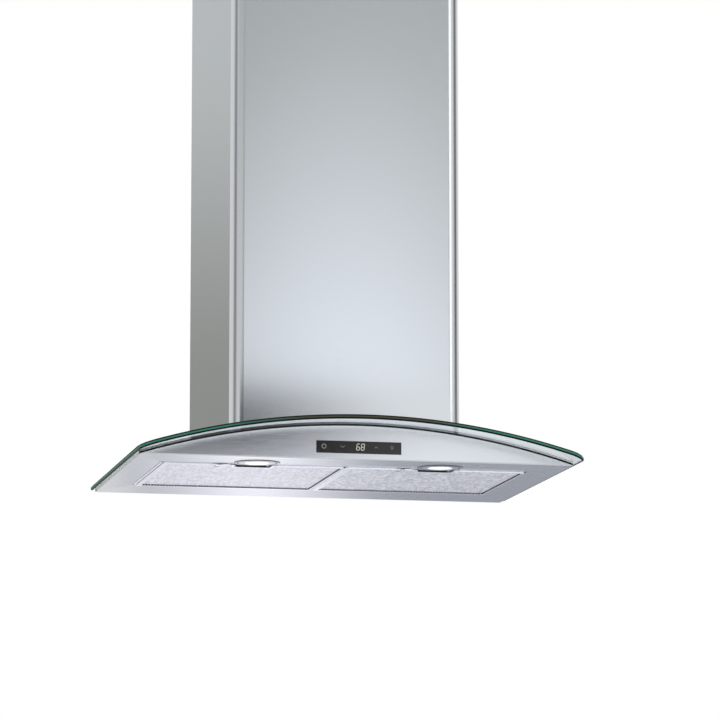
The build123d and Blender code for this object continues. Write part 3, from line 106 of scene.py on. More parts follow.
class HoodFinish(bpy.types.PropertyGroup):
    """Colours of the finishes."""

    steel: tint("Stainless steel", "Brushed sheet of the chimney and the body", "#CBCDD0")
    glass: tint("Glass", "Body of the float glass", "#DEE5E8")
    edge: tint("Glass edge", "Ground edge of the float glass", "#3A9577")
    panel: tint("Control glass", "Back-painted glass of the touch control", "#16160F")
    print: tint("Key print", "Printed signs of the touch keys", "#8E8F83")
    digits: tint("Digits", "Lit segments of the display", "#C9CAB8")
    aluminium: tint("Aluminium", "Filters", "#F6F7FF")
    lens: tint("Lamp lens", "Frosted glass of the lamps", "#F6FBFB")


class HoodStage(bpy.types.PropertyGroup):
    """Camera and light."""

    lens: bpy.props.FloatProperty(
        name="Lens", description="Focal length on a 36 mm sensor", default=204.58, unit="CAMERA"
    )
    place: bpy.props.FloatVectorProperty(
        name="Camera place", description="Where the camera stands",
        default=(-1.1079, -5.6630, -0.9570), subtype="TRANSLATION", unit="LENGTH",
    )
    yaw: bpy.props.FloatProperty(
        name="Yaw", description="Turn of the view towards the right",
        default=math.radians(11.917), subtype="ANGLE",
    )
    pitch: bpy.props.FloatProperty(
        name="Pitch", description="Rise of the view above the horizon",
        default=math.radians(9.088), subtype="ANGLE",
    )
    ambient: bpy.props.FloatProperty(
        name="Ambient", description="Strength of the world on matt surfaces", default=0.62
    )


def sizes():
    return bpy.context.scene.hood_sizes


def finish():
    return bpy.context.scene.hood_finish


# ---- modelling by hand -----------------------------------------------------------------------------
def rest():
    """Object mode, with nothing selected."""
    active = bpy.context.object
    if active is not None and active.mode != "OBJECT":
        bpy.ops.object.mode_set(mode="OBJECT")
    bpy.ops.object.select_all(action="DESELECT")


def only(*pieces):
    """Object mode, with only these pieces selected and the first one active."""
    rest()
    for piece in pieces:
        piece.select_set(True)
    bpy.context.view_layer.objects.active = pieces[0]


def fix_place(piece):
    """Moves the piece's place, turn and size into its mesh."""
    only(piece)
    bpy.ops.object.transform_apply(location=True, rotation=True, scale=True)


def block(name, low, high):
    """A box between two corners."""
    rest()
    size = [b - a for a, b in zip(low, high)]
    middle = [(a + b) / 2 for a, b in zip(low, high)]
    bpy.ops.mesh.primitive_cube_add(size=1, location=middle, scale=size)
    piece = bpy.context.object
    piece.name = name
    piece.data.name = name
    fix_place(piece)
    return piece


def rod(name, radius, start, end, sides=48):
    """A cylinder from one point to another."""
    rest()
    line = Vector(end) - Vector(start)
    turn = line.to_track_quat("Z", "Y").to_euler()
    bpy.ops.mesh.primitive_cylinder_add(
        vertices=sides, radius=radius, depth=line.length,
        location=(Vector(start) + Vector(end)) / 2, rotation=turn,
    )
    piece = bpy.context.object
    piece.name = name
    piece.data.name = name
    fix_place(piece)
    return piece


def pick(piece, kind, test):
    """Edit mode, with only the vertices, edges or faces selected that pass the test."""
    only(piece)
    bpy.ops.object.mode_set(mode="EDIT")
    bpy.ops.mesh.select_mode(type=kind)
    bpy.ops.mesh.select_all(action="DESELECT")
    mesh = bmesh.from_edit_mesh(piece.data)
    for element in {"VERT": mesh.verts, "EDGE": mesh.edges, "FACE": mesh.faces}[kind]:
        if test(element):
            element.select_set(True)
    mesh.select_flush_mode()
    bmesh.update_edit_mesh(piece.data)


def along(edge, axis):
    """True for an edge that runs along that axis."""
    line = edge.verts[1].co - edge.verts[0].co
    return line.length > NEAR and abs(line[axis]) > 0.999 * line.length


def at(edge, axis, place):
    """True for an edge that lies at that place along the axis."""
    return all(abs(vertex.co[axis] - place) < NEAR for vertex in edge.verts)


def apply(piece, kind, **settings):
    """Adds one modifier with its settings and applies it."""
    only(piece)
    modifier = piece.modifiers.new(kind.title(), kind)
    for name, value in settings.items():
        setattr(modifier, name, value)
    bpy.ops.object.modifier_apply(modifier=modifier.name)


def cut(piece, tool, operation="DIFFERENCE"):
    """Cuts a piece with another, which is used up."""
    apply(piece, "BOOLEAN", object=tool, operation=operation, solver="EXACT")
    bpy.data.objects.remove(tool)


def join(name, pieces):
    """Several pieces as one."""
    only(*pieces)
    bpy.ops.object.join()
    pieces[0].name = name
    pieces[0].data.name = name
    return pieces[0]


def copied(piece, name, shift):
    """A copy of a piece with a mesh of its own, moved by a shift that is put into the mesh."""
    only(piece)
    bpy.ops.object.duplicate(linked=False)
    twin = bpy.context.object
    twin.name = name
    twin.data.name = name
    twin.location = shift
    fix_place(twin)
    return twin


def face_outwards(piece):
    """Merges doubles and turns every face of a closed mesh outwards."""
    pick(piece, "VERT", lambda vertex: True)
    bpy.ops.mesh.remove_doubles(threshold=NEAR / 5)
    bpy.ops.mesh.normals_make_consistent(inside=False)
    rest()


def round_edges(piece, radius, segments=3, angle=30):
    apply(
        piece, "BEVEL", width=radius, segments=segments, limit_method="ANGLE",
        angle_limit=math.radians(angle), harden_normals=False,
    )


def lathe(name, rings, sides=72):
    """A turned piece round the Z axis: rings are radius and height, from a circle drawn outwards."""
    rest()
    radius, height = rings[0]
    bpy.ops.mesh.primitive_circle_add(vertices=sides, radius=radius, location=(0, 0, height))
    piece = bpy.context.object
    piece.name = name
    piece.data.name = name
    fix_place(piece)
    pick(piece, "EDGE", lambda edge: True)
    for next_radius, next_height in rings[1:]:
        bpy.ops.mesh.extrude_region_move(TRANSFORM_OT_translate={"value": (0, 0, next_height - height)})
        share = next_radius / radius
        bpy.ops.transform.resize(value=(share, share, 1), center_override=(0, 0, next_height))
        radius, height = next_radius, next_height
    rest()
    return piece


def hand_over(piece, body, paints, nodes=(), smooth=30):
    """Smooths a finished piece, keeping its large faces flat, paints it, hangs it on the body it
    rides on, and hides the frame's nodes that it stands for.
    """
    only(piece)
    bpy.ops.object.shade_smooth_by_angle(angle=math.radians(smooth))
    apply(piece, "WEIGHTED_NORMAL", keep_sharp=True)
    if not piece.data.materials:
        for paint in paints:
            piece.data.materials.append(paint)
    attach(piece, body)
    if nodes:
        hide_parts(*nodes)


def left_and_right(piece, body, paints, node=""):
    """Hands over a piece modelled for the left side, and its copy for the right.

    body and node are names without their side, or ROOT. Lamps and filters have the same shift.
    """
    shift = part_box("lamp_ring_right")[0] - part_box("lamp_ring_left")[0]
    twin = copied(piece, piece.name.removesuffix("left") + "right", shift)
    for side, part in zip(SIDES, (piece, twin)):
        rides_on = body if body == ROOT else body + side
        hand_over(part, rides_on, paints, [node + side] if node else [])


def dress(paint, *nodes):
    """Gives nodes of the frame a better material."""
    for name in nodes:
        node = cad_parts[name]
        if not node.material_slots:
            node.data.materials.append(paint)
        for material_slot in node.material_slots:
            material_slot.material = paint


# ---- materials -------------------------------------------------------------------------------------
def add(tree, kind, settings, inputs):
    """Adds one node: its own settings, and each input as a value or as another node's output."""
    node = tree.nodes.new(kind)
    for name, value in settings.items():
        setattr(node, name, value)
    for name, value in inputs.items():
        if isinstance(value, bpy.types.NodeSocket):
            tree.links.new(value, node.inputs[name])
        else:
            node.inputs[name].default_value = value
    return node


def emptied_tree(owner):
    """The node tree of a new material or world, with nothing in it."""
    owner.use_nodes = True
    owner.node_tree.nodes.clear()
    return owner.node_tree


def blank(name):
    """A new material with nothing but its shader; the material, its tree and that shader."""
    paint = bpy.data.materials.new(name)
    tree = emptied_tree(paint)
    shader = add(tree, "ShaderNodeBsdfPrincipled", {}, {})
    add(tree, "ShaderNodeOutputMaterial", {}, {"Surface": shader.outputs[0]})
    return paint, tree, shader


def set_shader(shader, **values):
    """Sets constants on a shader's sockets; an underscore stands for a space."""
    for name, value in values.items():
        socket = name.replace("_", " ").title().replace("Ior", "IOR")
        shader.inputs[socket].default_value = value


def grain(tree, scale, detail=3.0, size=1.0):
    """Noise in the object's own metres, stretched by scale; returns its value."""
    place = add(tree, "ShaderNodeTexCoord", {}, {})
    stretch = add(tree, "ShaderNodeMapping", {}, {"Vector": place.outputs["Object"], "Scale": scale})
    noise = add(
        tree, "ShaderNodeTexNoise", {},
        {"Vector": stretch.outputs[0], "Scale": size, "Detail": detail, "Roughness": 0.6},
    )
    return noise.outputs["Fac"]


def spread(tree, value, low, high):
    """The middle of a noise, spread from low to high."""
    noise_low, noise_high = 0.3, 0.7
    reach = add(
        tree, "ShaderNodeMapRange", {},
        {"Value": value, "From Min": noise_low, "From Max": noise_high, "To Min": low, "To Max": high},
    )
    return reach.outputs[0]


def shade_by(tree, value, dark, pale):
    """A colour between two, by a value from 0 to 1."""
    mix = add(tree, "ShaderNodeMix", {"data_type": "RGBA"}, {"Factor": value})
    mix.inputs[6].default_value = dark
    mix.inputs[7].default_value = pale
    return mix.outputs[2]


def across(tree, near, far):
    """0 near the middle of the hood, 1 beyond far on either side, in metres along X."""
    place = add(tree, "ShaderNodeTexCoord", {}, {})
    parts = add(tree, "ShaderNodeSeparateXYZ", {}, {"Vector": place.outputs["Object"]})
    aside = add(tree, "ShaderNodeMath", {"operation": "ABSOLUTE"}, {0: parts.outputs["X"]})
    ramp = add(
        tree, "ShaderNodeMapRange", {"interpolation_type": "SMOOTHSTEP"},
        {"Value": aside.outputs[0], "From Min": near, "From Max": far},
    )
    return ramp.outputs[0]


def deeper(colour, share):
    """A colour taken down by a share."""
    return (*[channel * share for channel in colour[:3]], 1.0)


def vary_colour(tree, shader, noise, colour, share):
    """The shader's colour, which a noise takes down by as much as to that share."""
    varied = shade_by(tree, spread(tree, noise, 0.0, 1.0), deeper(colour, share), colour)
    tree.links.new(varied, shader.inputs["Base Color"])


def brushed_steel(name, colour, roughness, lines):
    """Stainless sheet, brushed in one direction: fine parallel lines, a soft satin gloss.

    lines is the stretch of the grain: large across the lines and small along them. The real
    lines are about 0.1 mm apart; they are drawn about ten times as coarse, to show at all.
    """
    paint, tree, shader = blank(name)
    fine = grain(tree, lines, detail=4.0)
    broad = grain(tree, (3.0, 3.0, 2.0), detail=1.0)
    pale = shade_by(tree, spread(tree, fine, 0.0, 1.0), deeper(colour, 0.96), colour)
    mottled = add(
        tree, "ShaderNodeMix", {"data_type": "RGBA", "blend_type": "MULTIPLY"}, {"Factor": 1.0}
    )
    tree.links.new(pale, mottled.inputs[6])
    tree.links.new(shade_by(tree, broad, (0.97, 0.975, 0.98, 1), (1, 1, 1, 1)), mottled.inputs[7])
    tree.links.new(mottled.outputs[2], shader.inputs["Base Color"])
    tree.links.new(spread(tree, fine, roughness - 0.03, roughness + 0.03), shader.inputs["Roughness"])
    scratches = add(
        tree, "ShaderNodeBump", {}, {"Height": fine, "Strength": 0.03, "Distance": 0.1 * MM}
    )
    tree.links.new(scratches.outputs[0], shader.inputs["Normal"])
    set_shader(shader, metallic=1.0)
    return paint


def speckled(name, hex_value, roughness, metallic=0.0, grit=900.0, depth=0.05, contrast=0.9, **more):
    """A finish with an even fine grit: moulded plastic, plated or cast metal, rubber."""
    paint, tree, shader = blank(name)
    colour = linear(hex_value)
    grit_value = grain(tree, (grit, grit, grit), detail=2.0)
    broad = grain(tree, (14.0, 14.0, 14.0), detail=2.0)
    vary_colour(tree, shader, broad, colour, contrast)
    tree.links.new(
        spread(tree, grit_value, roughness - 0.05, roughness + 0.07), shader.inputs["Roughness"]
    )
    bump = add(
        tree, "ShaderNodeBump", {}, {"Height": grit_value, "Strength": depth, "Distance": 0.3 * MM}
    )
    tree.links.new(bump.outputs[0], shader.inputs["Normal"])
    set_shader(shader, metallic=metallic, **more)
    return paint


def galvanised_steel():
    """Hot-dip galvanised sheet: grey zinc with large flat crystals, each a little lighter or darker."""
    paint, tree, shader = blank("galvanised_steel")
    place = add(tree, "ShaderNodeTexCoord", {}, {})
    crystals_per_metre = 110.0
    spangle = add(
        tree, "ShaderNodeTexVoronoi", {"feature": "F1"},
        {"Vector": place.outputs["Object"], "Scale": crystals_per_metre},
    )
    grey = add(tree, "ShaderNodeSeparateColor", {}, {"Color": spangle.outputs["Color"]})
    zinc = linear("#B4B8BB")
    tree.links.new(
        shade_by(tree, grey.outputs[0], deeper(zinc, 0.72), zinc), shader.inputs["Base Color"]
    )
    rough = add(
        tree, "ShaderNodeMapRange", {}, {"Value": grey.outputs[1], "To Min": 0.34, "To Max": 0.5}
    )
    tree.links.new(rough.outputs[0], shader.inputs["Roughness"])
    set_shader(shader, metallic=1.0)
    return paint


def expanded_aluminium():
    """Aluminium slit and stretched to a net, washed dull: pale, with burrs and strands that twist
    a little. Their uneven glitter is painted into the colour as lighter and darker patches, a
    painted glint drawn 4 mm wide and 14 mm deep, coarser than the real 2 mm, to show from below.
    """
    paint, tree, shader = blank("expanded_aluminium")
    painted_glint = grain(tree, (240.0, 70.0, 240.0), detail=2.0)
    colour = finish().aluminium
    # Painted glint: the colour goes lighter and darker in patches.
    vary_colour(tree, shader, painted_glint, colour, 0.58)
    tree.links.new(spread(tree, painted_glint, 0.34, 0.46), shader.inputs["Roughness"])
    set_shader(shader, metallic=1.0)
    return paint


def filter_pad():
    """Finer nets behind the outer ones, drawn as a close diamond pattern whose gaps are painted shade."""
    paint, tree, shader = blank("filter_pad")
    place = add(tree, "ShaderNodeTexCoord", {}, {})
    colour = finish().aluminium
    waves = []
    for turn in (28, -28):
        turned = add(
            tree, "ShaderNodeMapping", {},
            {"Vector": place.outputs["Object"], "Rotation": (0, 0, math.radians(turn))},
        )
        wave = add(
            tree, "ShaderNodeTexWave", {"bands_direction": "Y"},
            {"Vector": turned.outputs[0], "Scale": 95.0, "Distortion": 0.6, "Detail": 1.0},
        )
        waves.append(wave.outputs["Fac"])
    strands = add(tree, "ShaderNodeMath", {"operation": "MAXIMUM"}, {0: waves[0], 1: waves[1]})
    # The gaps between the strands take the darker colour: painted shade.
    tree.links.new(
        shade_by(tree, strands.outputs[0], deeper(colour, 0.6), colour), shader.inputs["Base Color"]
    )
    bump = add(
        tree, "ShaderNodeBump", {},
        {"Height": strands.outputs[0], "Strength": 0.6, "Distance": 0.6 * MM},
    )
    tree.links.new(bump.outputs[0], shader.inputs["Normal"])
    set_shader(shader, metallic=1.0, roughness=0.45)
    return paint


def painted_shade_with_strand_ends():
    """Painted shade on the inner wall of the rim's hem: near black, with the cut ends of the net's
    strands as pale points on it.
    """
    paint, tree, shader = blank("painted_shade_with_strand_ends")
    place = add(tree, "ShaderNodeTexCoord", {}, {})
    pitch = 4.1 * MM
    band_at_one = math.tau / 20         # the length of a wave texture's band at scale 1
    wave = add(
        tree, "ShaderNodeTexWave", {"bands_direction": "X"},
        {"Vector": place.outputs["Object"], "Scale": band_at_one / pitch, "Distortion": 1.5,
         "Detail": 2.0, "Detail Scale": 2.0},
    )
    points = add(
        tree, "ShaderNodeMapRange", {}, {"Value": wave.outputs["Fac"], "From Min": 0.35, "From Max": 0.75}
    )
    tree.links.new(
        shade_by(tree, points.outputs[0], linear("#1B1C20"), linear("#DADCE4")),
        shader.inputs["Base Color"],
    )
    set_shader(shader, roughness=0.6)
    return paint


def rolled_aluminium():
    """Bright mill-finish strip of the filter rims."""
    return brushed_steel("rolled_aluminium", finish().aluminium, 0.26, (900.0, 900.0, 60.0))


def float_glass():
    """Clear float glass, tempered: colourless in its thickness, a trace of green from its iron."""
    paint, tree, shader = blank("float_glass")
    ripple = grain(tree, (5.0, 5.0, 5.0), detail=1.0)
    bump = add(
        tree, "ShaderNodeBump", {}, {"Height": ripple, "Strength": 0.02, "Distance": 0.4 * MM}
    )
    tree.links.new(bump.outputs[0], shader.inputs["Normal"])
    set_shader(
        shader, base_color=finish().glass, roughness=0.01, transmission_weight=1.0, ior=1.52
    )
    return paint


def ground_glass_edge():
    """Ground and polished edge: the light that runs along the sheet comes out deep green.

    In the middle the sheet lies on its dark seal and under the chimney, so little light gets
    into it there, and its edge is a dull olive.
    """
    paint, tree, shader = blank("ground_glass_edge")
    depth = grain(tree, (14.0, 60.0, 60.0), detail=2.0)
    colour = finish().edge
    green = shade_by(tree, spread(tree, depth, 0.0, 1.0), deeper(colour, 0.6), colour)
    aside = across(tree, 0.07, 0.17)
    mixed = add(tree, "ShaderNodeMix", {"data_type": "RGBA"}, {"Factor": aside})
    mixed.inputs[6].default_value = linear("#4A4A36")
    tree.links.new(green, mixed.inputs[7])
    tree.links.new(mixed.outputs[2], shader.inputs["Base Color"])
    set_shader(shader, roughness=0.4, specular_ior_level=0.25)
    return paint


def glass_arris():
    """The narrow ground bevels beside the edge, painted nearly black: painted shade for the dark lines
    the bevels show.
    """
    paint, tree, shader = blank("glass_arris")
    grit = grain(tree, (400.0, 400.0, 400.0), detail=2.0)
    # Near black: painted shade.
    colour = linear("#0A1714")
    vary_colour(tree, shader, grit, colour, 0.5)
    set_shader(shader, roughness=0.5, specular_ior_level=0.1)
    return paint


def back_painted_glass():
    """Touch control: clear glass over a black-brown lacquer, with a sharp gloss."""
    paint, tree, shader = blank("back_painted_glass")
    film = grain(tree, (120.0, 120.0, 120.0), detail=2.0)
    colour = finish().panel
    vary_colour(tree, shader, film, colour, 0.8)
    tree.links.new(spread(tree, film, 0.1, 0.16), shader.inputs["Roughness"])
    set_shader(shader, ior=1.5)
    return paint


def lit_print(name, colour, strength):
    """Screen-printed sign or display segment, lit a little from behind."""
    paint, tree, shader = blank(name)
    ink = grain(tree, (700.0, 700.0, 700.0), detail=2.0)
    vary_colour(tree, shader, ink, colour, 0.85)
    set_shader(shader, roughness=0.5, emission_color=colour, emission_strength=strength)
    return paint


def frosted_lens():
    """Pressed glass, etched inside: evenly white when its lamp is lit, cooler at its rim."""
    paint, tree, shader = blank("frosted_lens")
    etch = grain(tree, (600.0, 600.0, 600.0), detail=2.0)
    colour = finish().lens
    vary_colour(tree, shader, etch, colour, 0.94)
    set_shader(
        shader, roughness=0.35, coat_weight=0.6, emission_color=linear("#F2FFFF"),
        emission_strength=0.9,
    )
    return paint


def lens_rim():
    """Bevelled rim of the lens, which shows the glass's cool tint."""
    return speckled("lens_rim", "#A9CDD2", 0.25, grit=500.0, depth=0.02)


# ---- glass canopy ----------------------------------------------------------------------------------
def bend_of_glass():
    """Radius of the glass's underside, and the height of the bend's axis."""
    low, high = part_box("glass_canopy")
    half = (high.x - low.x) / 2
    rise = sizes().glass_rise
    radius = (half ** 2 + rise ** 2) / (2 * rise)
    return radius, high.z - sizes().glass_thickness - radius


def glass_screw_places():
    """Where the four screws pass the glass, across and along."""
    side_x, side_y = 140 * MM, -60 * MM
    front_x, front_y = 95 * MM, -294 * MM
    return [(-side_x, side_y), (side_x, side_y), (-front_x, front_y), (front_x, front_y)]


def bent_sheet():
    """A strip of the sheet's section, spun round the bend's axis."""
    low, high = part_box("glass_canopy")
    radius, axis_z = bend_of_glass()
    thickness = sizes().glass_thickness
    spare = 4 * MM
    half_turn = math.asin((high.x + spare) / radius)
    rest()
    bpy.ops.mesh.primitive_plane_add(
        size=1, location=(0, (low.y + high.y) / 2, radius + thickness / 2),
        rotation=(0, -math.pi / 2, 0),
    )
    sheet = bpy.context.object
    sheet.scale = (thickness, high.y - low.y + spare, 1)
    fix_place(sheet)
    sheet.rotation_euler = (0, -half_turn, 0)
    sheet.location = (0, 0, axis_z)
    fix_place(sheet)
    pick(sheet, "FACE", lambda face: True)
    facets = 96
    bpy.ops.mesh.spin(
        steps=facets, angle=2 * half_turn, center=(0, 0, axis_z), axis=(0, -1, 0)
    )
    face_outwards(sheet)
    sheet.name = "glass_sheet"
    sheet.data.name = "glass_sheet"
    return sheet


def glass_canopy():
    low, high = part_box("glass_canopy")
    radius, axis_z = bend_of_glass()
    sheet = bent_sheet()
    margin = 20 * MM
    plan = block("plan", (low.x, low.y, low.z - margin), (high.x, high.y, high.z + margin))
    pick(plan, "EDGE", lambda edge: along(edge, Z) and at(edge, Y, low.y))
    bpy.ops.mesh.bevel(offset=sizes().glass_corner, segments=14, affect="EDGES")
    cut(sheet, plan, "INTERSECT")
    top_low, top_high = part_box("housing_top")
    gap = sizes().neck_gap
    cut(sheet, block(
        "neck", (top_low.x - gap, top_low.y - gap, low.z - margin),
        (top_high.x + gap, high.y + margin, high.z + margin),
    ))
    hole_radius = 5 * MM
    for x, y in glass_screw_places():
        height = math.sqrt(radius ** 2 - x ** 2)
        outwards = Vector((x, 0, height)) / radius
        middle = Vector((x, y, axis_z + height))
        cut(sheet, rod("hole", hole_radius, middle - outwards * margin, middle + outwards * margin))
    sliver = 0.4 * MM               # the cuts leave points this close to the facets' corners
    pick(sheet, "VERT", lambda vertex: True)
    bpy.ops.mesh.remove_doubles(threshold=sliver)
    apply(
        sheet, "BEVEL", width=sizes().glass_arris, segments=1, limit_method="ANGLE",
        angle_limit=math.radians(50), use_clamp_overlap=False,
    )

    for paint in (float_glass(), ground_glass_edge(), glass_arris()):
        sheet.data.materials.append(paint)
    half = sizes().glass_thickness / 2
    on_surface = half - 0.1 * MM
    for face in sheet.data.polygons:
        corners = [sheet.data.vertices[index].co for index in face.vertices]
        depths = [math.hypot(co.x, co.z - axis_z) - radius - half for co in corners]
        if min(depths) > on_surface or max(depths) < -on_surface:
            continue
        reaches_surface = max(abs(depth) for depth in depths) > on_surface
        face.material_index = 2 if reaches_surface else 1
    hand_over(sheet, ROOT, (), ["glass_canopy"], smooth=25)


# ---- chimney covers --------------------------------------------------------------------------------
def folded_cover(name, node, sheet, bend):
    """Three walls with rounded bends, flanges at the wall, and the sheet's thickness inwards."""
    low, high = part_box(node)
    cover = block(name, low, high)
    pick(cover, "EDGE", lambda edge: along(edge, Z) and at(edge, Y, low.y))
    bpy.ops.mesh.bevel(offset=bend, segments=18, affect="EDGES")
    pick(cover, "FACE", lambda face: abs(face.normal.z) > 0.5 or face.normal.y > 0.5)
    bpy.ops.mesh.delete(type="FACE")
    for x, inwards in ((low.x, 1), (high.x, -1)):
        pick(cover, "EDGE", lambda edge: along(edge, Z) and at(edge, Y, high.y) and at(edge, X, x))
        bpy.ops.mesh.extrude_region_move(
            TRANSFORM_OT_translate={"value": (inwards * sizes().cover_flange, 0, 0)}
        )
    apply(cover, "SOLIDIFY", thickness=sheet, offset=-1.0, use_even_offset=True)
    return cover


def chimney_covers():
    steel = brushed_steel("brushed_stainless_chimney", finish().steel, 0.2, (60.0, 60.0, 1400.0))
    lower = folded_cover("chimney_lower", "lower_cover", 1.0 * MM, sizes().cover_bend)
    radius, axis_z = bend_of_glass()
    low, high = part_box("lower_cover")
    spare = 10 * MM
    tool = rod(
        "bend", radius + sizes().glass_thickness, (0, low.y - spare, axis_z),
        (0, high.y + spare, axis_z), sides=720,
    )
    cut(lower, tool)
    hand_over(lower, ROOT, [steel], ["lower_cover"])
    inset = 1.7 * MM
    upper = folded_cover("chimney_upper", "upper_cover", 0.8 * MM, sizes().cover_bend - inset)
    hand_over(upper, "upper_cover", [steel], ["upper_cover"])


# ---- steel body ------------------------------------------------------------------------------------
def strip_steel():
    """Stainless of the underside, brushed along each strip: the grain turns where a side strip
    starts, and the gloss with it.
    """
    paint, tree, shader = blank("brushed_stainless_strips")
    colour = finish().steel
    place = add(tree, "ShaderNodeTexCoord", {}, {})
    parts = add(tree, "ShaderNodeSeparateXYZ", {}, {"Vector": place.outputs["Object"]})
    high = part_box("underside_frame")[1]
    aside = add(tree, "ShaderNodeMath", {"operation": "ABSOLUTE"}, {0: parts.outputs["X"]})
    side_start = 0.9 * high.x
    side = add(
        tree, "ShaderNodeMath", {"operation": "GREATER_THAN"}, {0: aside.outputs[0], 1: side_start}
    )
    cross_lines = grain(tree, (60.0, 1400.0, 60.0), detail=4.0)
    depth_lines = grain(tree, (1400.0, 60.0, 60.0), detail=4.0)
    lines = add(tree, "ShaderNodeMix", {"data_type": "FLOAT"}, {"Factor": side.outputs[0]})
    tree.links.new(cross_lines, lines.inputs[2])
    tree.links.new(depth_lines, lines.inputs[3])
    fine = lines.outputs[0]
    vary_colour(tree, shader, fine, colour, 0.97)
    tree.links.new(spread(tree, fine, 0.25, 0.28), shader.inputs["Roughness"])
    set_shader(shader, metallic=1.0)
    return paint


def folded_edges(steel):
    """The underside's sheet turned up at its two sides, nearly to the glass."""
    low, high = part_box("underside_frame")
    radius, axis_z = bend_of_glass()
    play = 0.2 * MM
    top_z = axis_z + math.sqrt(radius ** 2 - high.x ** 2) - play
    sheet = 0.3 * MM
    from_wall = 2 * MM
    left = block(
        "folded_edge_left", (low.x - sheet, low.y, low.z), (low.x, high.y - from_wall, top_z)
    )
    round_edges(left, 0.1 * MM, segments=2)
    right = copied(left, "folded_edge_right", (high.x - low.x + sheet, 0, 0))
    for edge in (left, right):
        hand_over(edge, ROOT, [steel])


def body_finishes():
    fascia = brushed_steel("brushed_stainless_fascia", finish().steel, 0.22, (60.0, 60.0, 1400.0))
    dress(fascia, "fascia_panel")
    strips = strip_steel()
    dress(strips, "underside_frame")
    folded_edges(strips)
    rubber = speckled("epdm_rubber", "#0B0B0C", 0.7, grit=400.0, depth=0.04)
    dress(rubber, "glass_seal", "glass_bushes")


# ---- touch control ---------------------------------------------------------------------------------
def sign_bar(x, z, length_x, height_z, front, turn=0.0):
    """A thin bar with pointed ends on the front of the control glass, turned about its middle."""
    rest()
    depth = 0.12 * MM
    bpy.ops.mesh.primitive_cylinder_add(
        vertices=6, radius=height_z / 2, depth=depth, rotation=(math.pi / 2, 0, 0)
    )
    bar = bpy.context.object
    fix_place(bar)
    stretch = (length_x - height_z) / 2
    for side in (-1, 1):
        pick(bar, "VERT", lambda vertex: vertex.co.x * side > NEAR)
        bpy.ops.transform.translate(value=(side * stretch, 0, 0))
    rest()
    bar.rotation_euler = (0, turn, 0)
    bar.location = (x, front, z)
    fix_place(bar)
    return bar


def sign_ring(x, z, radius, stroke, front):
    """A thin flat ring on the front of the control glass."""
    depth = 0.06 * MM
    ring = lathe("ring", [
        (radius - stroke, -depth), (radius, -depth), (radius, depth), (radius - stroke, depth),
        (radius - stroke, -depth),
    ], sides=40)
    ring.rotation_euler = (math.pi / 2, 0, 0)
    ring.location = (x, front, z)
    fix_place(ring)
    face_outwards(ring)
    return ring


def chevron(x, z, width, stroke, front, up):
    """Two bars that meet in a point, up or down."""
    lean = math.radians(38)
    arm = width / 2 / math.cos(lean)
    offset = width / 4
    sign = 1 if up else -1
    return [
        sign_bar(x + side * offset, z, arm + stroke, stroke, front, turn=side * sign * lean)
        for side in (-1, 1)
    ]


def digits(numerals, z, front):
    """Seven-segment digits, leaning a little: each numeral is its place and its segments, a to g."""
    height = sizes().digit_height
    stroke = sizes().digit_stroke
    width = 0.55 * height
    lean = math.radians(7)
    half = height / 2 - stroke / 2
    between = width - stroke
    lying = sign_bar(0, 0, between, stroke, front)
    upright = sign_bar(0, 0, half, stroke, front, turn=lean - math.pi / 2)
    places = {
        "a": (lying, 0, half), "g": (lying, 0, 0), "d": (lying, 0, -half),
        "f": (upright, -between / 2, half / 2), "b": (upright, between / 2, half / 2),
        "e": (upright, -between / 2, -half / 2), "c": (upright, between / 2, -half / 2),
    }
    bars = []
    for x, segments in numerals:
        for segment in segments:
            bar, shift, rise = places[segment]
            bars.append(copied(bar, "segment", (x + shift + rise * math.tan(lean), 0, z + rise)))
    for bar in (lying, upright):
        bpy.data.objects.remove(bar)
    return join("display_digits", bars)


def touch_control():
    low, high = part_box("control_glass")
    front = low.y
    plate = block("control_plate", low, high)
    round_edges(plate, 0.5 * MM)
    hand_over(plate, ROOT, [back_painted_glass()], ["control_glass"])

    key_z = (low.z + high.z) / 2 + 0.6 * MM
    ring_x, down_x, digits_x, up_x, lamp_x = [v * MM for v in (-47.3, -22.2, 2.1, 23.8, 44.9)]
    signs = [sign_ring(ring_x, key_z, 3.4 * MM, 1.3 * MM, front)]
    signs += chevron(down_x, key_z, 5.6 * MM, 0.9 * MM, front, up=False)
    signs += chevron(up_x, key_z, 4.4 * MM, 0.8 * MM, front, up=True)
    signs.append(sign_ring(lamp_x, key_z + 0.6 * MM, 1.9 * MM, 0.6 * MM, front))
    signs.append(sign_bar(lamp_x, key_z - 1.9 * MM, 2.2 * MM, 0.7 * MM, front))
    printed = join("touch_signs", signs)
    hand_over(printed, ROOT, [lit_print("screen_print", finish().print, 0.12)])

    pitch = 0.66 * sizes().digit_height
    six, eight = "acdefg", "abcdefg"
    number = digits([(digits_x - pitch / 2, six), (digits_x + pitch / 2, eight)], key_z, front)
    hand_over(number, ROOT, [lit_print("led_segments", finish().digits, 0.4)])


# ---- lamps -----------------------------------------------------------------------------------------
def stand_on_strip(piece):
    """Puts a turned piece, modelled at the world's origin, where the frame has the left lamp's ring."""
    low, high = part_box("lamp_ring_left")
    slope = math.atan2(2.0, 78.5)
    radius = (high.x - low.x) / 2
    piece.rotation_euler = (slope, 0, 0)
    piece.location = ((low.x + high.x) / 2, (low.y + high.y) / 2, high.z - radius * math.sin(slope))
    fix_place(piece)


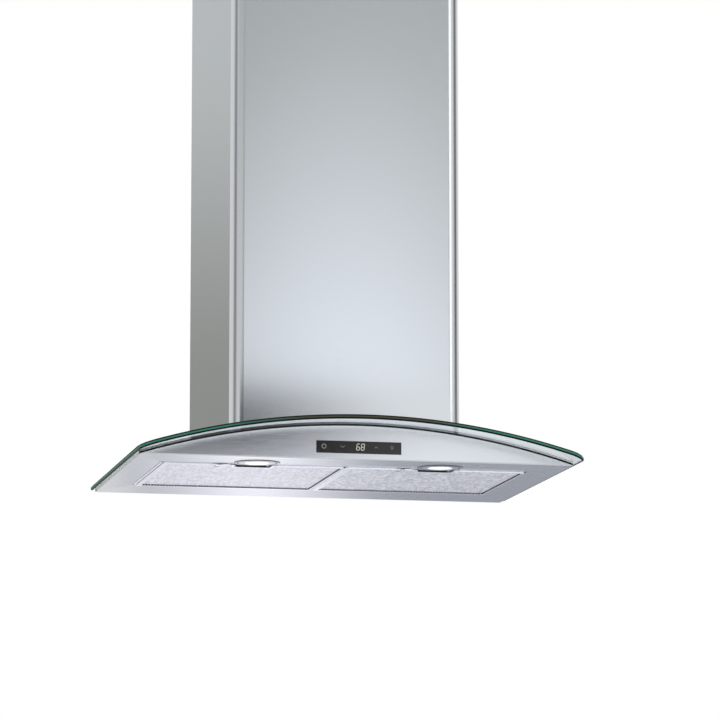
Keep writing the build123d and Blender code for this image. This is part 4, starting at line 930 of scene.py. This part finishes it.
def lamp_trim():
    """Turned ring with a bead and a groove; its groove and its outer rim are painted darker, painted
    shade that draws the ring's outlines.
    """
    profile = [
        (17.05, 0), (17.05, -0.6), (17.4, -0.9), (25.4, -0.9), (25.9, -0.25), (26.9, -0.25),
        (27.4, -0.9), (30.0, -0.9), (31.0, 0), (17.05, 0),
    ]
    ring = lathe("lamp_trim_left", [(r * MM, z * MM) for r, z in profile], sides=96)
    ring.data.materials.append(
        speckled("satin_nickel", "#C4C5C9", 0.3, metallic=1.0, grit=700.0, depth=0.03)
    )
    # The second paint is painted shade: the nickel taken darker in the groove and on the outer rim.
    ring.data.materials.append(
        speckled("painted_shade_groove", "#5A5B60", 0.45, metallic=1.0, grit=700.0, depth=0.03)
    )
    for face in ring.data.polygons:
        from_axis = math.hypot(face.center.x, face.center.y)
        in_painted_shade = 25.5 * MM < from_axis < 27.3 * MM or from_axis > 30.3 * MM
        face.material_index = 1 if in_painted_shade else 0
    stand_on_strip(ring)
    face_outwards(ring)
    left_and_right(ring, ROOT, (), "lamp_ring_")


def lamp_glass():
    """Domed lens: frosted inside its bevelled rim."""
    profile = [
        (16.9, 2.0), (17.0, 0), (17.0, -0.7), (16.6, -1.1), (15.6, -1.45), (13.0, -1.8),
        (9.0, -2.05), (5.0, -2.17), (2.0, -2.2),
    ]
    lens = lathe("lamp_glass_left", [(r * MM, z * MM) for r, z in profile], sides=96)
    bottom = profile[-1][1] * MM
    pick(lens, "VERT", lambda vertex: abs(vertex.co.z - bottom) < NEAR)
    bpy.ops.mesh.merge(type="CENTER")
    pick(lens, "VERT", lambda vertex: vertex.co.z > 1.9 * MM)
    bpy.ops.mesh.edge_face_add()
    rest()
    face_outwards(lens)
    for paint in (frosted_lens(), lens_rim()):
        lens.data.materials.append(paint)
    rim_start = 16.7 * MM
    for face in lens.data.polygons:
        face.material_index = 1 if math.hypot(face.center.x, face.center.y) > rim_start else 0
    stand_on_strip(lens)
    left_and_right(lens, ROOT, (), "lamp_lens_")


# ---- grease filters --------------------------------------------------------------------------------
def filter_places():
    """Low and high corner of the left filter's plan, the middle of its lamp recess, its latch."""
    low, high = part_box("filter_frame_left")
    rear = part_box("filter_core_left")[1].y + 1.0 * MM
    middle = (low.x + high.x) / 2
    latch_low, latch_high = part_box("filter_latch_left")
    latch = (latch_low.x + latch_high.x) / 2
    return Vector((low.x, low.y, low.z)), Vector((high.x, rear, high.z)), middle, latch


LIP_TOP_Z = -231.0 * MM         # just below the steel's underside at the opening
LIP_LOW_Z = -231.5 * MM
NOTCH_HALF = 25 * MM            # recess round the lamp's tab
NOTCH_REAR = -302 * MM
LAND_HALF = 12 * MM             # solid part over the latch's slot
LAND_REAR = -280 * MM
LAND_Z = -230.45 * MM           # its underside, above the outer net
SLOT_LENGTH = 20 * MM           # slot for the latch's grip, before the latch's travel


def window_of(name, grow, low_z, high_z, land=False):
    """The open part of a filter as a solid, grown by a little all round, less the latch's land."""
    low, high, middle, latch = filter_places()
    rim = sizes()
    body = block(
        name, (low.x + rim.rim_left - grow, low.y + rim.rim_front - grow, low_z),
        (high.x - rim.rim_right + grow, high.y - rim.rim_rear + grow, high_z),
    )
    before = low.y - 10 * MM
    half = NOTCH_HALF + rim.rim_front - grow
    over = 1 * MM
    cut(body, block(
        "recess", (middle - half, before, low_z - over),
        (middle + half, NOTCH_REAR + rim.rim_front - grow, high_z + over),
    ))
    if land:
        cut(body, block(
            "land", (latch - LAND_HALF, before, LAND_Z), (latch + LAND_HALF, LAND_REAR, high_z + over)
        ))
    return body


def filter_plan(name, inset, low_z, high_z):
    """A filter's whole plan as a solid, set in by a little, with the recess round its lamp."""
    low, high, middle, _ = filter_places()
    body = block(
        name, (low.x + inset, low.y + inset, low_z), (high.x - inset, high.y - inset, high_z)
    )
    half = NOTCH_HALF + inset
    over = 1 * MM
    cut(body, block(
        "recess", (middle - half, low.y - over, low_z - over),
        (middle + half, NOTCH_REAR + inset, high_z + over),
    ))
    return body


def front_lip():
    """Thin lip that hides the gap at the filter's front, below the steel, beside lamp and latch."""
    low, high, middle, latch = filter_places()
    front = low.y - sizes().lip_reach
    plate = block(
        "lip", (low.x, front, LIP_LOW_Z), (high.x - 2 * MM, low.y + sizes().lip_inset, LIP_TOP_Z)
    )
    over = 1 * MM
    beside_lamp = 8 * MM
    latch_half = 3 * MM
    for place, half in ((middle, NOTCH_HALF + beside_lamp), (latch, latch_half)):
        cut(plate, block(
            "cut-out", (place - half, front - over, LIP_LOW_Z - over),
            (place + half, low.y + 3 * over, LIP_TOP_Z + over),
        ))
    return plate


def side_lip(paint):
    """The same lip along the outer side of the left filter."""
    low, high, _, _ = filter_places()
    lip = sizes()
    plate = block(
        "filter_side_lip", (low.x - lip.lip_reach, low.y - lip.lip_reach, LIP_LOW_Z),
        (low.x + lip.lip_inset, high.y - 4 * MM, LIP_TOP_Z),
    )
    round_edges(plate, 0.15 * MM, segments=2)
    hand_over(plate, "filter_left", [paint])


def filter_rim(paint, painted_shade):
    """Rolled aluminium channel, with the land that carries the latch, and the hinge rods."""
    low, high, middle, latch = filter_places()
    over = 1 * MM
    sheet = 1 * MM
    floor_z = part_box("filter_mesh_left")[0].z
    roof_z = high.z - sheet
    rim_z = low.z - sizes().rim_drop
    rim = filter_plan("filter_rim_left", 0, rim_z, high.z)
    cut(rim, window_of("window", 0, rim_z - over, floor_z + sheet, land=True))
    cut(rim, window_of("window", 0, floor_z + sheet, high.z + over))
    step = sizes().lip_inset
    cut(rim, block(
        "step", (low.x - step, low.y - over, rim_z - over), (low.x + step, high.y + over, LIP_LOW_Z)
    ))
    round_edges(rim, sizes().rim_roll, segments=3, angle=60)
    cut(rim, filter_plan("channel", sheet, floor_z, roof_z))
    latch_low, latch_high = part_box("filter_latch_left")
    plate_top = latch_low.z + 4.95 * MM
    plate_sheet = 1.5 * MM
    travel = 5 * MM
    play = 0.4 * MM
    cut(rim, block(
        "bolt_way", (latch_low.x - play, low.y - over, plate_top - plate_sheet - play),
        (latch_high.x + play, latch_high.y + travel + over, plate_top + play),
    ))
    slot_half = 3 * MM
    cut(rim, block(
        "slot", (latch - slot_half, latch_high.y - SLOT_LENGTH, rim_z - over),
        (latch + slot_half, latch_high.y + travel, plate_top),
    ))
    rod_radius = 1.5 * MM
    hinge_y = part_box("filter_frame_left")[1].y - rod_radius
    hinge_z = -228.2 * MM
    hinge_reach = 80 * MM
    arm_half = 6 * MM
    pin_half = 11 * MM
    x = middle - hinge_reach
    arm = block(
        "arm", (x - arm_half, high.y - over, hinge_z - sheet), (x + arm_half, hinge_y, hinge_z + sheet)
    )
    round_edges(arm, 0.4 * MM, segments=2)
    pin = rod(
        "pin", rod_radius, (x - pin_half, hinge_y, hinge_z), (x + pin_half, hinge_y, hinge_z), 24
    )
    round_edges(pin, 0.3 * MM, segments=2)
    hinge = join("hinge", [arm, pin])
    other_hinge = copied(hinge, "other_hinge", (2 * hinge_reach, 0, 0))
    whole = join("filter_rim_left", [rim, front_lip(), hinge, other_hinge])
    for part in (paint, painted_shade):
        whole.data.materials.append(part)
    hem_y = high.y - sizes().rim_rear
    hem_x = high.x - sizes().rim_right
    # The rim's inner walls at the rear and at the right, below the net, get the second paint, which is
    # painted shade.
    for face in whole.data.polygons:
        rear = face.normal.y < -0.5 and abs(face.center.y - hem_y) < sheet
        right = face.normal.x < -0.5 and abs(face.center.x - hem_x) < sheet
        if (rear or right) and face.center.z < floor_z:
            face.material_index = 1
    left_and_right(whole, "filter_", (), "filter_frame_")


def painted_shadow_strip(paint):
    """Painted shadow: a black strip along the filter's edge behind its lamp, where the gap behind the
    lamp's tab lies in shade.
    """
    low, _, middle, _ = filter_places()
    half = 20.5 * MM
    before, behind = 0.9 * MM, 1.0 * MM
    below, above = 1.9 * MM, 0.6 * MM
    trim = block(
        "recess_trim_left", (middle - half, NOTCH_REAR - before, low.z - below),
        (middle + half, NOTCH_REAR + behind, low.z + above),
    )
    round_edges(trim, 0.5 * MM, segments=3)
    left_and_right(trim, "filter_", [paint])


def net_layer(pitch, strand, place_z, grow):
    """One expanded-metal layer: two crossing families of flat strands, cut to the window."""
    low, high, middle, _ = filter_places()
    reach = high.x - low.x
    turn = math.radians(27)
    lean = math.radians(-3)
    thickness = 0.2 * MM
    spare = 20 * MM
    start = low.y - reach * math.tan(turn) / 2
    strand_length = reach / math.cos(turn) + spare
    layers = []
    for way in (-1, 1):
        bar = block(
            "strand", (-strand_length / 2, -strand / 2, -thickness / 2),
            (strand_length / 2, strand / 2, thickness / 2),
        )
        bar.rotation_euler = (lean, 0, 0)
        fix_place(bar)
        bar.rotation_euler = (0, 0, way * turn)
        bar.location = (middle, start, place_z)
        fix_place(bar)
        count = int((high.y - start + reach * math.tan(turn) / 2) / pitch) + 1
        apply(
            bar, "ARRAY", count=count, use_relative_offset=False, use_constant_offset=True,
            constant_offset_displace=(0, pitch, 0),
        )
        margin = 5 * MM
        cut(bar, window_of("window", grow, place_z - margin, place_z + margin), "INTERSECT")
        layers.append(bar)
    return layers


def filter_net(paint):
    """Outer diamond net, which runs under the latch's land, and a finer one above it."""
    latch_low, latch_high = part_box("filter_latch_left")
    latch = (latch_low.x + latch_high.x) / 2
    outer_strand, inner_strand = 2.3 * MM, 1.4 * MM
    outer_z = LAND_Z - 0.4 * MM
    inner_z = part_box("filter_mesh_left")[0].z + 0.7 * MM
    under_rim = 1.5 * MM
    outer = net_layer(sizes().diamond_pitch, outer_strand, outer_z, 0)
    inner = net_layer(sizes().fine_pitch, inner_strand, inner_z, under_rim)
    reach = 3 * MM
    for layer in outer:
        cut(layer, block(
            "slot", (latch - reach, latch_high.y - SLOT_LENGTH, LAND_Z - reach),
            (latch + reach, latch_high.y + 5 * MM, LAND_Z + reach),
        ))
    for layer in inner:
        cut(layer, block(
            "pocket", (latch_low.x - reach, latch_low.y, inner_z - reach),
            (latch_high.x + reach, latch_high.y + 2 * reach, inner_z + reach),
        ))
    net = join("filter_net_left", outer + inner)
    left_and_right(net, "filter_", [paint], "filter_mesh_")


def grease_filters():
    rolled = rolled_aluminium()
    filter_rim(rolled, painted_shade_with_strand_ends())
    side_lip(rolled)
    filter_net(expanded_aluminium())
    # The black strip behind each lamp is painted shadow.
    painted_shadow_strip(speckled("painted_shadow_black", "#0D0D0E", 0.45, grit=900.0, depth=0.08))
    pad = filter_pad()
    for side in SIDES:
        dress(pad, "filter_core_" + side)
        dress(rolled, "filter_latch_" + side)


# ---- what is inside, and the fixings ---------------------------------------------------------------
def inner_finishes():
    dress(
        galvanised_steel(), "body_top", "body_back", "motor_housing", "housing_top", "upper_bracket",
        "cover_clips", "motor_spider",
    )
    dress(
        speckled("black_polypropylene", "#1C1C1D", 0.5, grit=1200.0, depth=0.1),
        "control_carrier", "cable_gland", "lamp_driver", "outlet_collar", "damper_flap_left",
        "damper_flap_right", "impeller",
    )
    dress(
        speckled("grey_abs", "#7D8083", 0.45, grit=1200.0, depth=0.1),
        "electronics_box", "electronics_lid", "terminal_block", "motor_capacitor", "scroll_left",
        "scroll_right",
    )
    dress(
        speckled("green_laminate", "#14532D", 0.35, grit=300.0, depth=0.05, contrast=0.7),
        "control_board", "main_board", "lamp_modules",
    )
    dress(speckled("display_resin", "#0B0B0B", 0.3, grit=600.0), "display_module")
    dress(
        speckled("zinc_plating", "#C3C6C9", 0.28, metallic=1.0, grit=900.0),
        "glass_screws", "glass_nuts", "upper_screws", "pan_screws",
    )
    dress(
        speckled("spring_steel", "#9A9DA1", 0.3, metallic=1.0, grit=900.0),
        "filter_catch_left", "filter_catch_right", "latch_spring_left", "latch_spring_right",
    )
    dress(speckled("ground_steel", "#B5B8BB", 0.2, metallic=1.0, grit=1500.0),
          "motor_shaft", "damper_spindle")
    dress(speckled("motor_enamel", "#3A3D40", 0.4, grit=800.0), "motor_casing")
    dress(speckled("laminated_iron", "#4A4A4C", 0.5, metallic=1.0, grit=1500.0), "motor_stator")
    dress(speckled("die_cast_aluminium", "#A7A9AC", 0.45, metallic=1.0, grit=400.0), "motor_rotor")
    dress(speckled("sintered_bronze", "#8A6A3C", 0.5, metallic=1.0, grit=900.0), "motor_bearings")
    dress(speckled("spun_aluminium", "#B0B1B4", 0.35, metallic=1.0, grit=500.0), "lamp_cans")


# ---- stage -----------------------------------------------------------------------------------------
def camera():
    stage = bpy.context.scene.hood_stage
    data = bpy.data.cameras.new("camera")
    data.lens = stage.lens
    data.sensor_width = 36.0
    eye = bpy.data.objects.new("camera", data)
    eye.location = stage.place
    eye.rotation_euler = (math.pi / 2 + stage.pitch, 0, -stage.yaw)
    bpy.context.scene.collection.objects.link(eye)
    bpy.context.scene.camera = eye


def white_world():
    """White where the camera, a gloss or clear glass looks, and plain soft light elsewhere."""
    world = bpy.data.worlds.new("white_world")
    bpy.context.scene.world = world
    tree = emptied_tree(world)
    ray = add(tree, "ShaderNodeLightPath", {}, {})
    seen = add(
        tree, "ShaderNodeMath", {"operation": "MAXIMUM"},
        {0: ray.outputs["Is Camera Ray"], 1: ray.outputs["Is Glossy Ray"]},
    )
    seen = add(
        tree, "ShaderNodeMath", {"operation": "MAXIMUM"},
        {0: seen.outputs[0], 1: ray.outputs["Is Transmission Ray"]},
    )
    white = (1.0, 1.0, 1.0, 1.0)
    soft = add(
        tree, "ShaderNodeBackground", {},
        {"Color": white, "Strength": bpy.context.scene.hood_stage.ambient},
    )
    shown = add(tree, "ShaderNodeBackground", {}, {"Color": white, "Strength": 1.0})
    mix = add(
        tree, "ShaderNodeMixShader", {},
        {"Fac": seen.outputs[0], 1: soft.outputs[0], 2: shown.outputs[0]},
    )
    add(tree, "ShaderNodeOutputWorld", {}, {"Surface": mix.outputs[0]})


def floor():
    rest()
    width, floor_z = 30, -4.3
    bpy.ops.mesh.primitive_plane_add(size=width, location=(0, 0, floor_z))
    ground = bpy.context.object
    ground.name = "floor"
    fix_place(ground)
    paint, tree, shader = blank("pale_floor")
    cloud = grain(tree, (0.6, 0.6, 0.6), detail=1.0)
    pale = linear("#E6E6E6")
    tree.links.new(shade_by(tree, cloud, deeper(pale, 0.97), pale), shader.inputs["Base Color"])
    set_shader(shader, roughness=0.8)
    ray = add(tree, "ShaderNodeLightPath", {}, {})
    mirrored = add(
        tree, "ShaderNodeMath", {"operation": "MAXIMUM"},
        {0: ray.outputs["Is Glossy Ray"], 1: ray.outputs["Is Transmission Ray"]},
    )
    white = add(tree, "ShaderNodeEmission", {}, {"Color": linear("#FFFFFF"), "Strength": 0.95})
    mix = add(
        tree, "ShaderNodeMixShader", {},
        {"Fac": mirrored.outputs[0], 1: shader.outputs[0], 2: white.outputs[0]},
    )
    output = next(node for node in tree.nodes if node.type == "OUTPUT_MATERIAL")
    tree.links.new(mix.outputs[0], output.inputs["Surface"])
    ground.data.materials.append(paint)


def softbox(name, place, aim, width, height, power, glossy=True):
    """A large rectangular lamp at a place, facing a point; glossy says whether metal mirrors it."""
    data = bpy.data.lights.new(name, "AREA")
    data.shape = "RECTANGLE"
    data.size = width
    data.size_y = height
    data.energy = power
    lamp = bpy.data.objects.new(name, data)
    lamp.location = place
    way = Vector(aim) - Vector(place)
    lamp.rotation_euler = way.to_track_quat("-Z", "Y").to_euler()
    lamp.visible_glossy = glossy
    bpy.context.scene.collection.objects.link(lamp)


def slope_between(tree, start, end):
    """0 at the start, 1 at the end, straight between them, in the world's metres."""
    way = Vector(end) - Vector(start)
    place = add(tree, "ShaderNodeTexCoord", {}, {})
    shifted = add(
        tree, "ShaderNodeVectorMath", {"operation": "SUBTRACT"},
        {0: place.outputs["Object"], 1: Vector(start)},
    )
    run = add(
        tree, "ShaderNodeVectorMath", {"operation": "DOT_PRODUCT"},
        {0: shifted.outputs[0], 1: way / way.length_squared},
    )
    ramp = add(
        tree, "ShaderNodeMapRange", {"interpolation_type": "SMOOTHSTEP"}, {"Value": run.outputs["Value"]}
    )
    return ramp.outputs[0]


def glow_round(tree, middle, reach):
    """1 at the middle, falling straight to 0 at the given reach along each axis."""
    place = add(tree, "ShaderNodeTexCoord", {}, {})
    local = add(
        tree, "ShaderNodeMapping", {"vector_type": "TEXTURE"},
        {"Vector": place.outputs["Object"], "Location": middle, "Scale": reach},
    )
    glow = add(
        tree, "ShaderNodeTexGradient", {"gradient_type": "SPHERICAL"}, {"Vector": local.outputs[0]}
    )
    return glow.outputs["Fac"]


def card(name, place, aim, width, height, ends, strength, pattern):
    """A graduated studio card, upright, that shows only in glossy surfaces.

    ends are the hex colours where pattern(tree) gives 0 and where it gives 1.
    """
    rest()
    bpy.ops.mesh.primitive_plane_add(size=1)
    sheet = bpy.context.object
    sheet.name = name
    sheet.scale = (width, height, 1)
    fix_place(sheet)
    way = Vector(aim) - Vector(place)
    way.z = 0
    sheet.rotation_euler = way.to_track_quat("Z", "Y").to_euler()
    sheet.location = place
    fix_place(sheet)
    paint = bpy.data.materials.new(name)
    tree = emptied_tree(paint)
    colour = shade_by(tree, pattern(tree), linear(ends[0]), linear(ends[1]))
    shine = add(tree, "ShaderNodeEmission", {}, {"Color": colour, "Strength": strength})
    add(tree, "ShaderNodeOutputMaterial", {}, {"Surface": shine.outputs[0]})
    sheet.data.materials.append(paint)
    for kind in ("camera", "diffuse", "transmission", "volume_scatter", "shadow"):
        setattr(sheet, "visible_" + kind, False)


def cards():
    """Cards round the hood, each where one of its faces reflects it to the camera."""
    card(
        "front_card", (0.43, -2.9, 0.35), (0.43, 0, 0.35), 1.75, 2.6, ("#838784", "#F4F6FF"), 2.5,
        lambda tree: glow_round(tree, (0.54, -2.9, -0.25), (0.45, 1.0, 1.4)),
    )
    card(
        "front_left_card", (-1.25, -2.4, 0.4), (-0.15, -0.33, 0.4), 1.8, 2.6,
        ("#CFD2D2", "#F6F8F8"), 1.0, lambda tree: slope_between(tree, (0, 0, 1.2), (0, 0, 0.2)),
    )
    card(
        "left_card", (-2.06, -0.91, 0.4), (-0.15, -0.33, 0.4), 1.7, 2.6, ("#FFFFFF", "#7E8281"), 1.0,
        lambda tree: glow_round(tree, (-2.06, -0.91, 0.4), (0.9, 0.9, 4.0)),
    )
    card(
        "right_card", (1.99, -0.49, 0.4), (0.15, -0.33, 0.4), 1.5, 2.6, ("#FFFFFF", "#3A3C3D"), 1.0,
        lambda tree: glow_round(tree, (1.99, -0.49, 0.4), (0.9, 0.9, 4.0)),
    )
    card(
        "fascia_card", (0.06, -0.85, -0.115), (0.06, 0, -0.115), 0.9, 0.13, ("#47494E", "#FBFDFF"), 1.25,
        lambda tree: slope_between(tree, (-0.1, 0, 0), (0.22, 0, 0)),
    )
    card(
        "rear_left_card", (-1.0, 2.5, 0.7), (-1.0, 0, 0.7), 1.4, 2.0, ("#9A9D97", "#CED2D2"), 1.0,
        lambda tree: slope_between(tree, (0, 0, 0.25), (0, 0, 1.05)),
    )
    card(
        "rear_right_card", (0.95, 2.5, -0.9), (0.95, 0, -0.9), 1.6, 1.2, ("#82868F", "#F8F8FF"), 1.62,
        lambda tree: glow_round(tree, (0.4, 2.5, -0.59), (0.26, 1.0, 4.0)),
    )


def studio():
    camera()
    white_world()
    floor()
    cards()
    softbox("front_right_strip", (1.35, -2.25, 0.4), (0.15, -0.33, 0.3), 0.7, 2.4, 5.5)
    softbox("left_softbox", (-2.4, -1.6, 1.2), (0.0, -0.2, 0.0), 1.0, 1.4, 6, glossy=False)
    softbox("rear_low_softbox", (0.4, 1.6, -1.5), (0.05, -0.2, -0.23), 1.6, 0.7, 1.6)
    view = bpy.context.scene.view_settings
    view.view_transform = "Standard"


# ---- operators -------------------------------------------------------------------------------------
class HOOD_OT_stage(bpy.types.Operator):
    """Camera, soft lamps, white world and pale floor"""

    bl_idname = "hood.stage"
    bl_label = "Stage"

    def execute(self, context):
        studio()
        return {"FINISHED"}


class HOOD_OT_glass(bpy.types.Operator):
    """Bent glass canopy with its ground edge"""

    bl_idname = "hood.glass"
    bl_label = "Glass Canopy"

    def execute(self, context):
        glass_canopy()
        return {"FINISHED"}


class HOOD_OT_covers(bpy.types.Operator):
    """Lower and upper chimney cover"""

    bl_idname = "hood.covers"
    bl_label = "Chimney Covers"

    def execute(self, context):
        chimney_covers()
        return {"FINISHED"}


class HOOD_OT_body(bpy.types.Operator):
    """Folded edges of the underside, and the finishes of the body and its seal"""

    bl_idname = "hood.body"
    bl_label = "Steel Body"

    def execute(self, context):
        body_finishes()
        return {"FINISHED"}


class HOOD_OT_control(bpy.types.Operator):
    """Touch control with its signs and digits"""

    bl_idname = "hood.control"
    bl_label = "Touch Control"

    def execute(self, context):
        touch_control()
        return {"FINISHED"}


class HOOD_OT_lamps(bpy.types.Operator):
    """Lamp rings and lenses"""

    bl_idname = "hood.lamps"
    bl_label = "Lamps"

    def execute(self, context):
        lamp_trim()
        lamp_glass()
        return {"FINISHED"}


class HOOD_OT_filters(bpy.types.Operator):
    """Grease filters: rims, nets, pads and latches"""

    bl_idname = "hood.filters"
    bl_label = "Grease Filters"

    def execute(self, context):
        grease_filters()
        return {"FINISHED"}


class HOOD_OT_inside(bpy.types.Operator):
    """Finishes of the housing, the blower, the electronics and the fixings"""

    bl_idname = "hood.inside"
    bl_label = "Inner Pieces"

    def execute(self, context):
        inner_finishes()
        return {"FINISHED"}


OPERATORS = (
    HOOD_OT_stage, HOOD_OT_glass, HOOD_OT_covers, HOOD_OT_body, HOOD_OT_control, HOOD_OT_lamps,
    HOOD_OT_filters, HOOD_OT_inside,
)


class HOOD_PT_panel(bpy.types.Panel):
    """The hood's pieces, sizes and colours"""

    bl_idname = "HOOD_PT_panel"
    bl_label = "Range Hood"
    bl_space_type = "VIEW_3D"
    bl_region_type = "UI"
    bl_category = "Hood"

    def draw(self, context):
        for group in (context.scene.hood_sizes, context.scene.hood_finish, context.scene.hood_stage):
            box = self.layout.box()
            for name in group.__annotations__:
                box.prop(group, name)
        for operator in OPERATORS:
            self.layout.operator(operator.bl_idname)


CLASSES = (HoodSizes, HoodFinish, HoodStage, *OPERATORS, HOOD_PT_panel)


def register():
    for item in CLASSES:
        bpy.utils.register_class(item)
    bpy.types.Scene.hood_sizes = bpy.props.PointerProperty(type=HoodSizes)
    bpy.types.Scene.hood_finish = bpy.props.PointerProperty(type=HoodFinish)
    bpy.types.Scene.hood_stage = bpy.props.PointerProperty(type=HoodStage)


def unregister():
    del bpy.types.Scene.hood_stage
    del bpy.types.Scene.hood_finish
    del bpy.types.Scene.hood_sizes
    for item in reversed(CLASSES):
        bpy.utils.unregister_class(item)


def main():
    register()
    bpy.ops.hood.stage()
    bpy.ops.hood.glass()
    bpy.ops.hood.covers()
    bpy.ops.hood.body()
    bpy.ops.hood.control()
    bpy.ops.hood.lamps()
    bpy.ops.hood.filters()
    bpy.ops.hood.inside()
    rest()


if __name__ == "__main__":
    main()
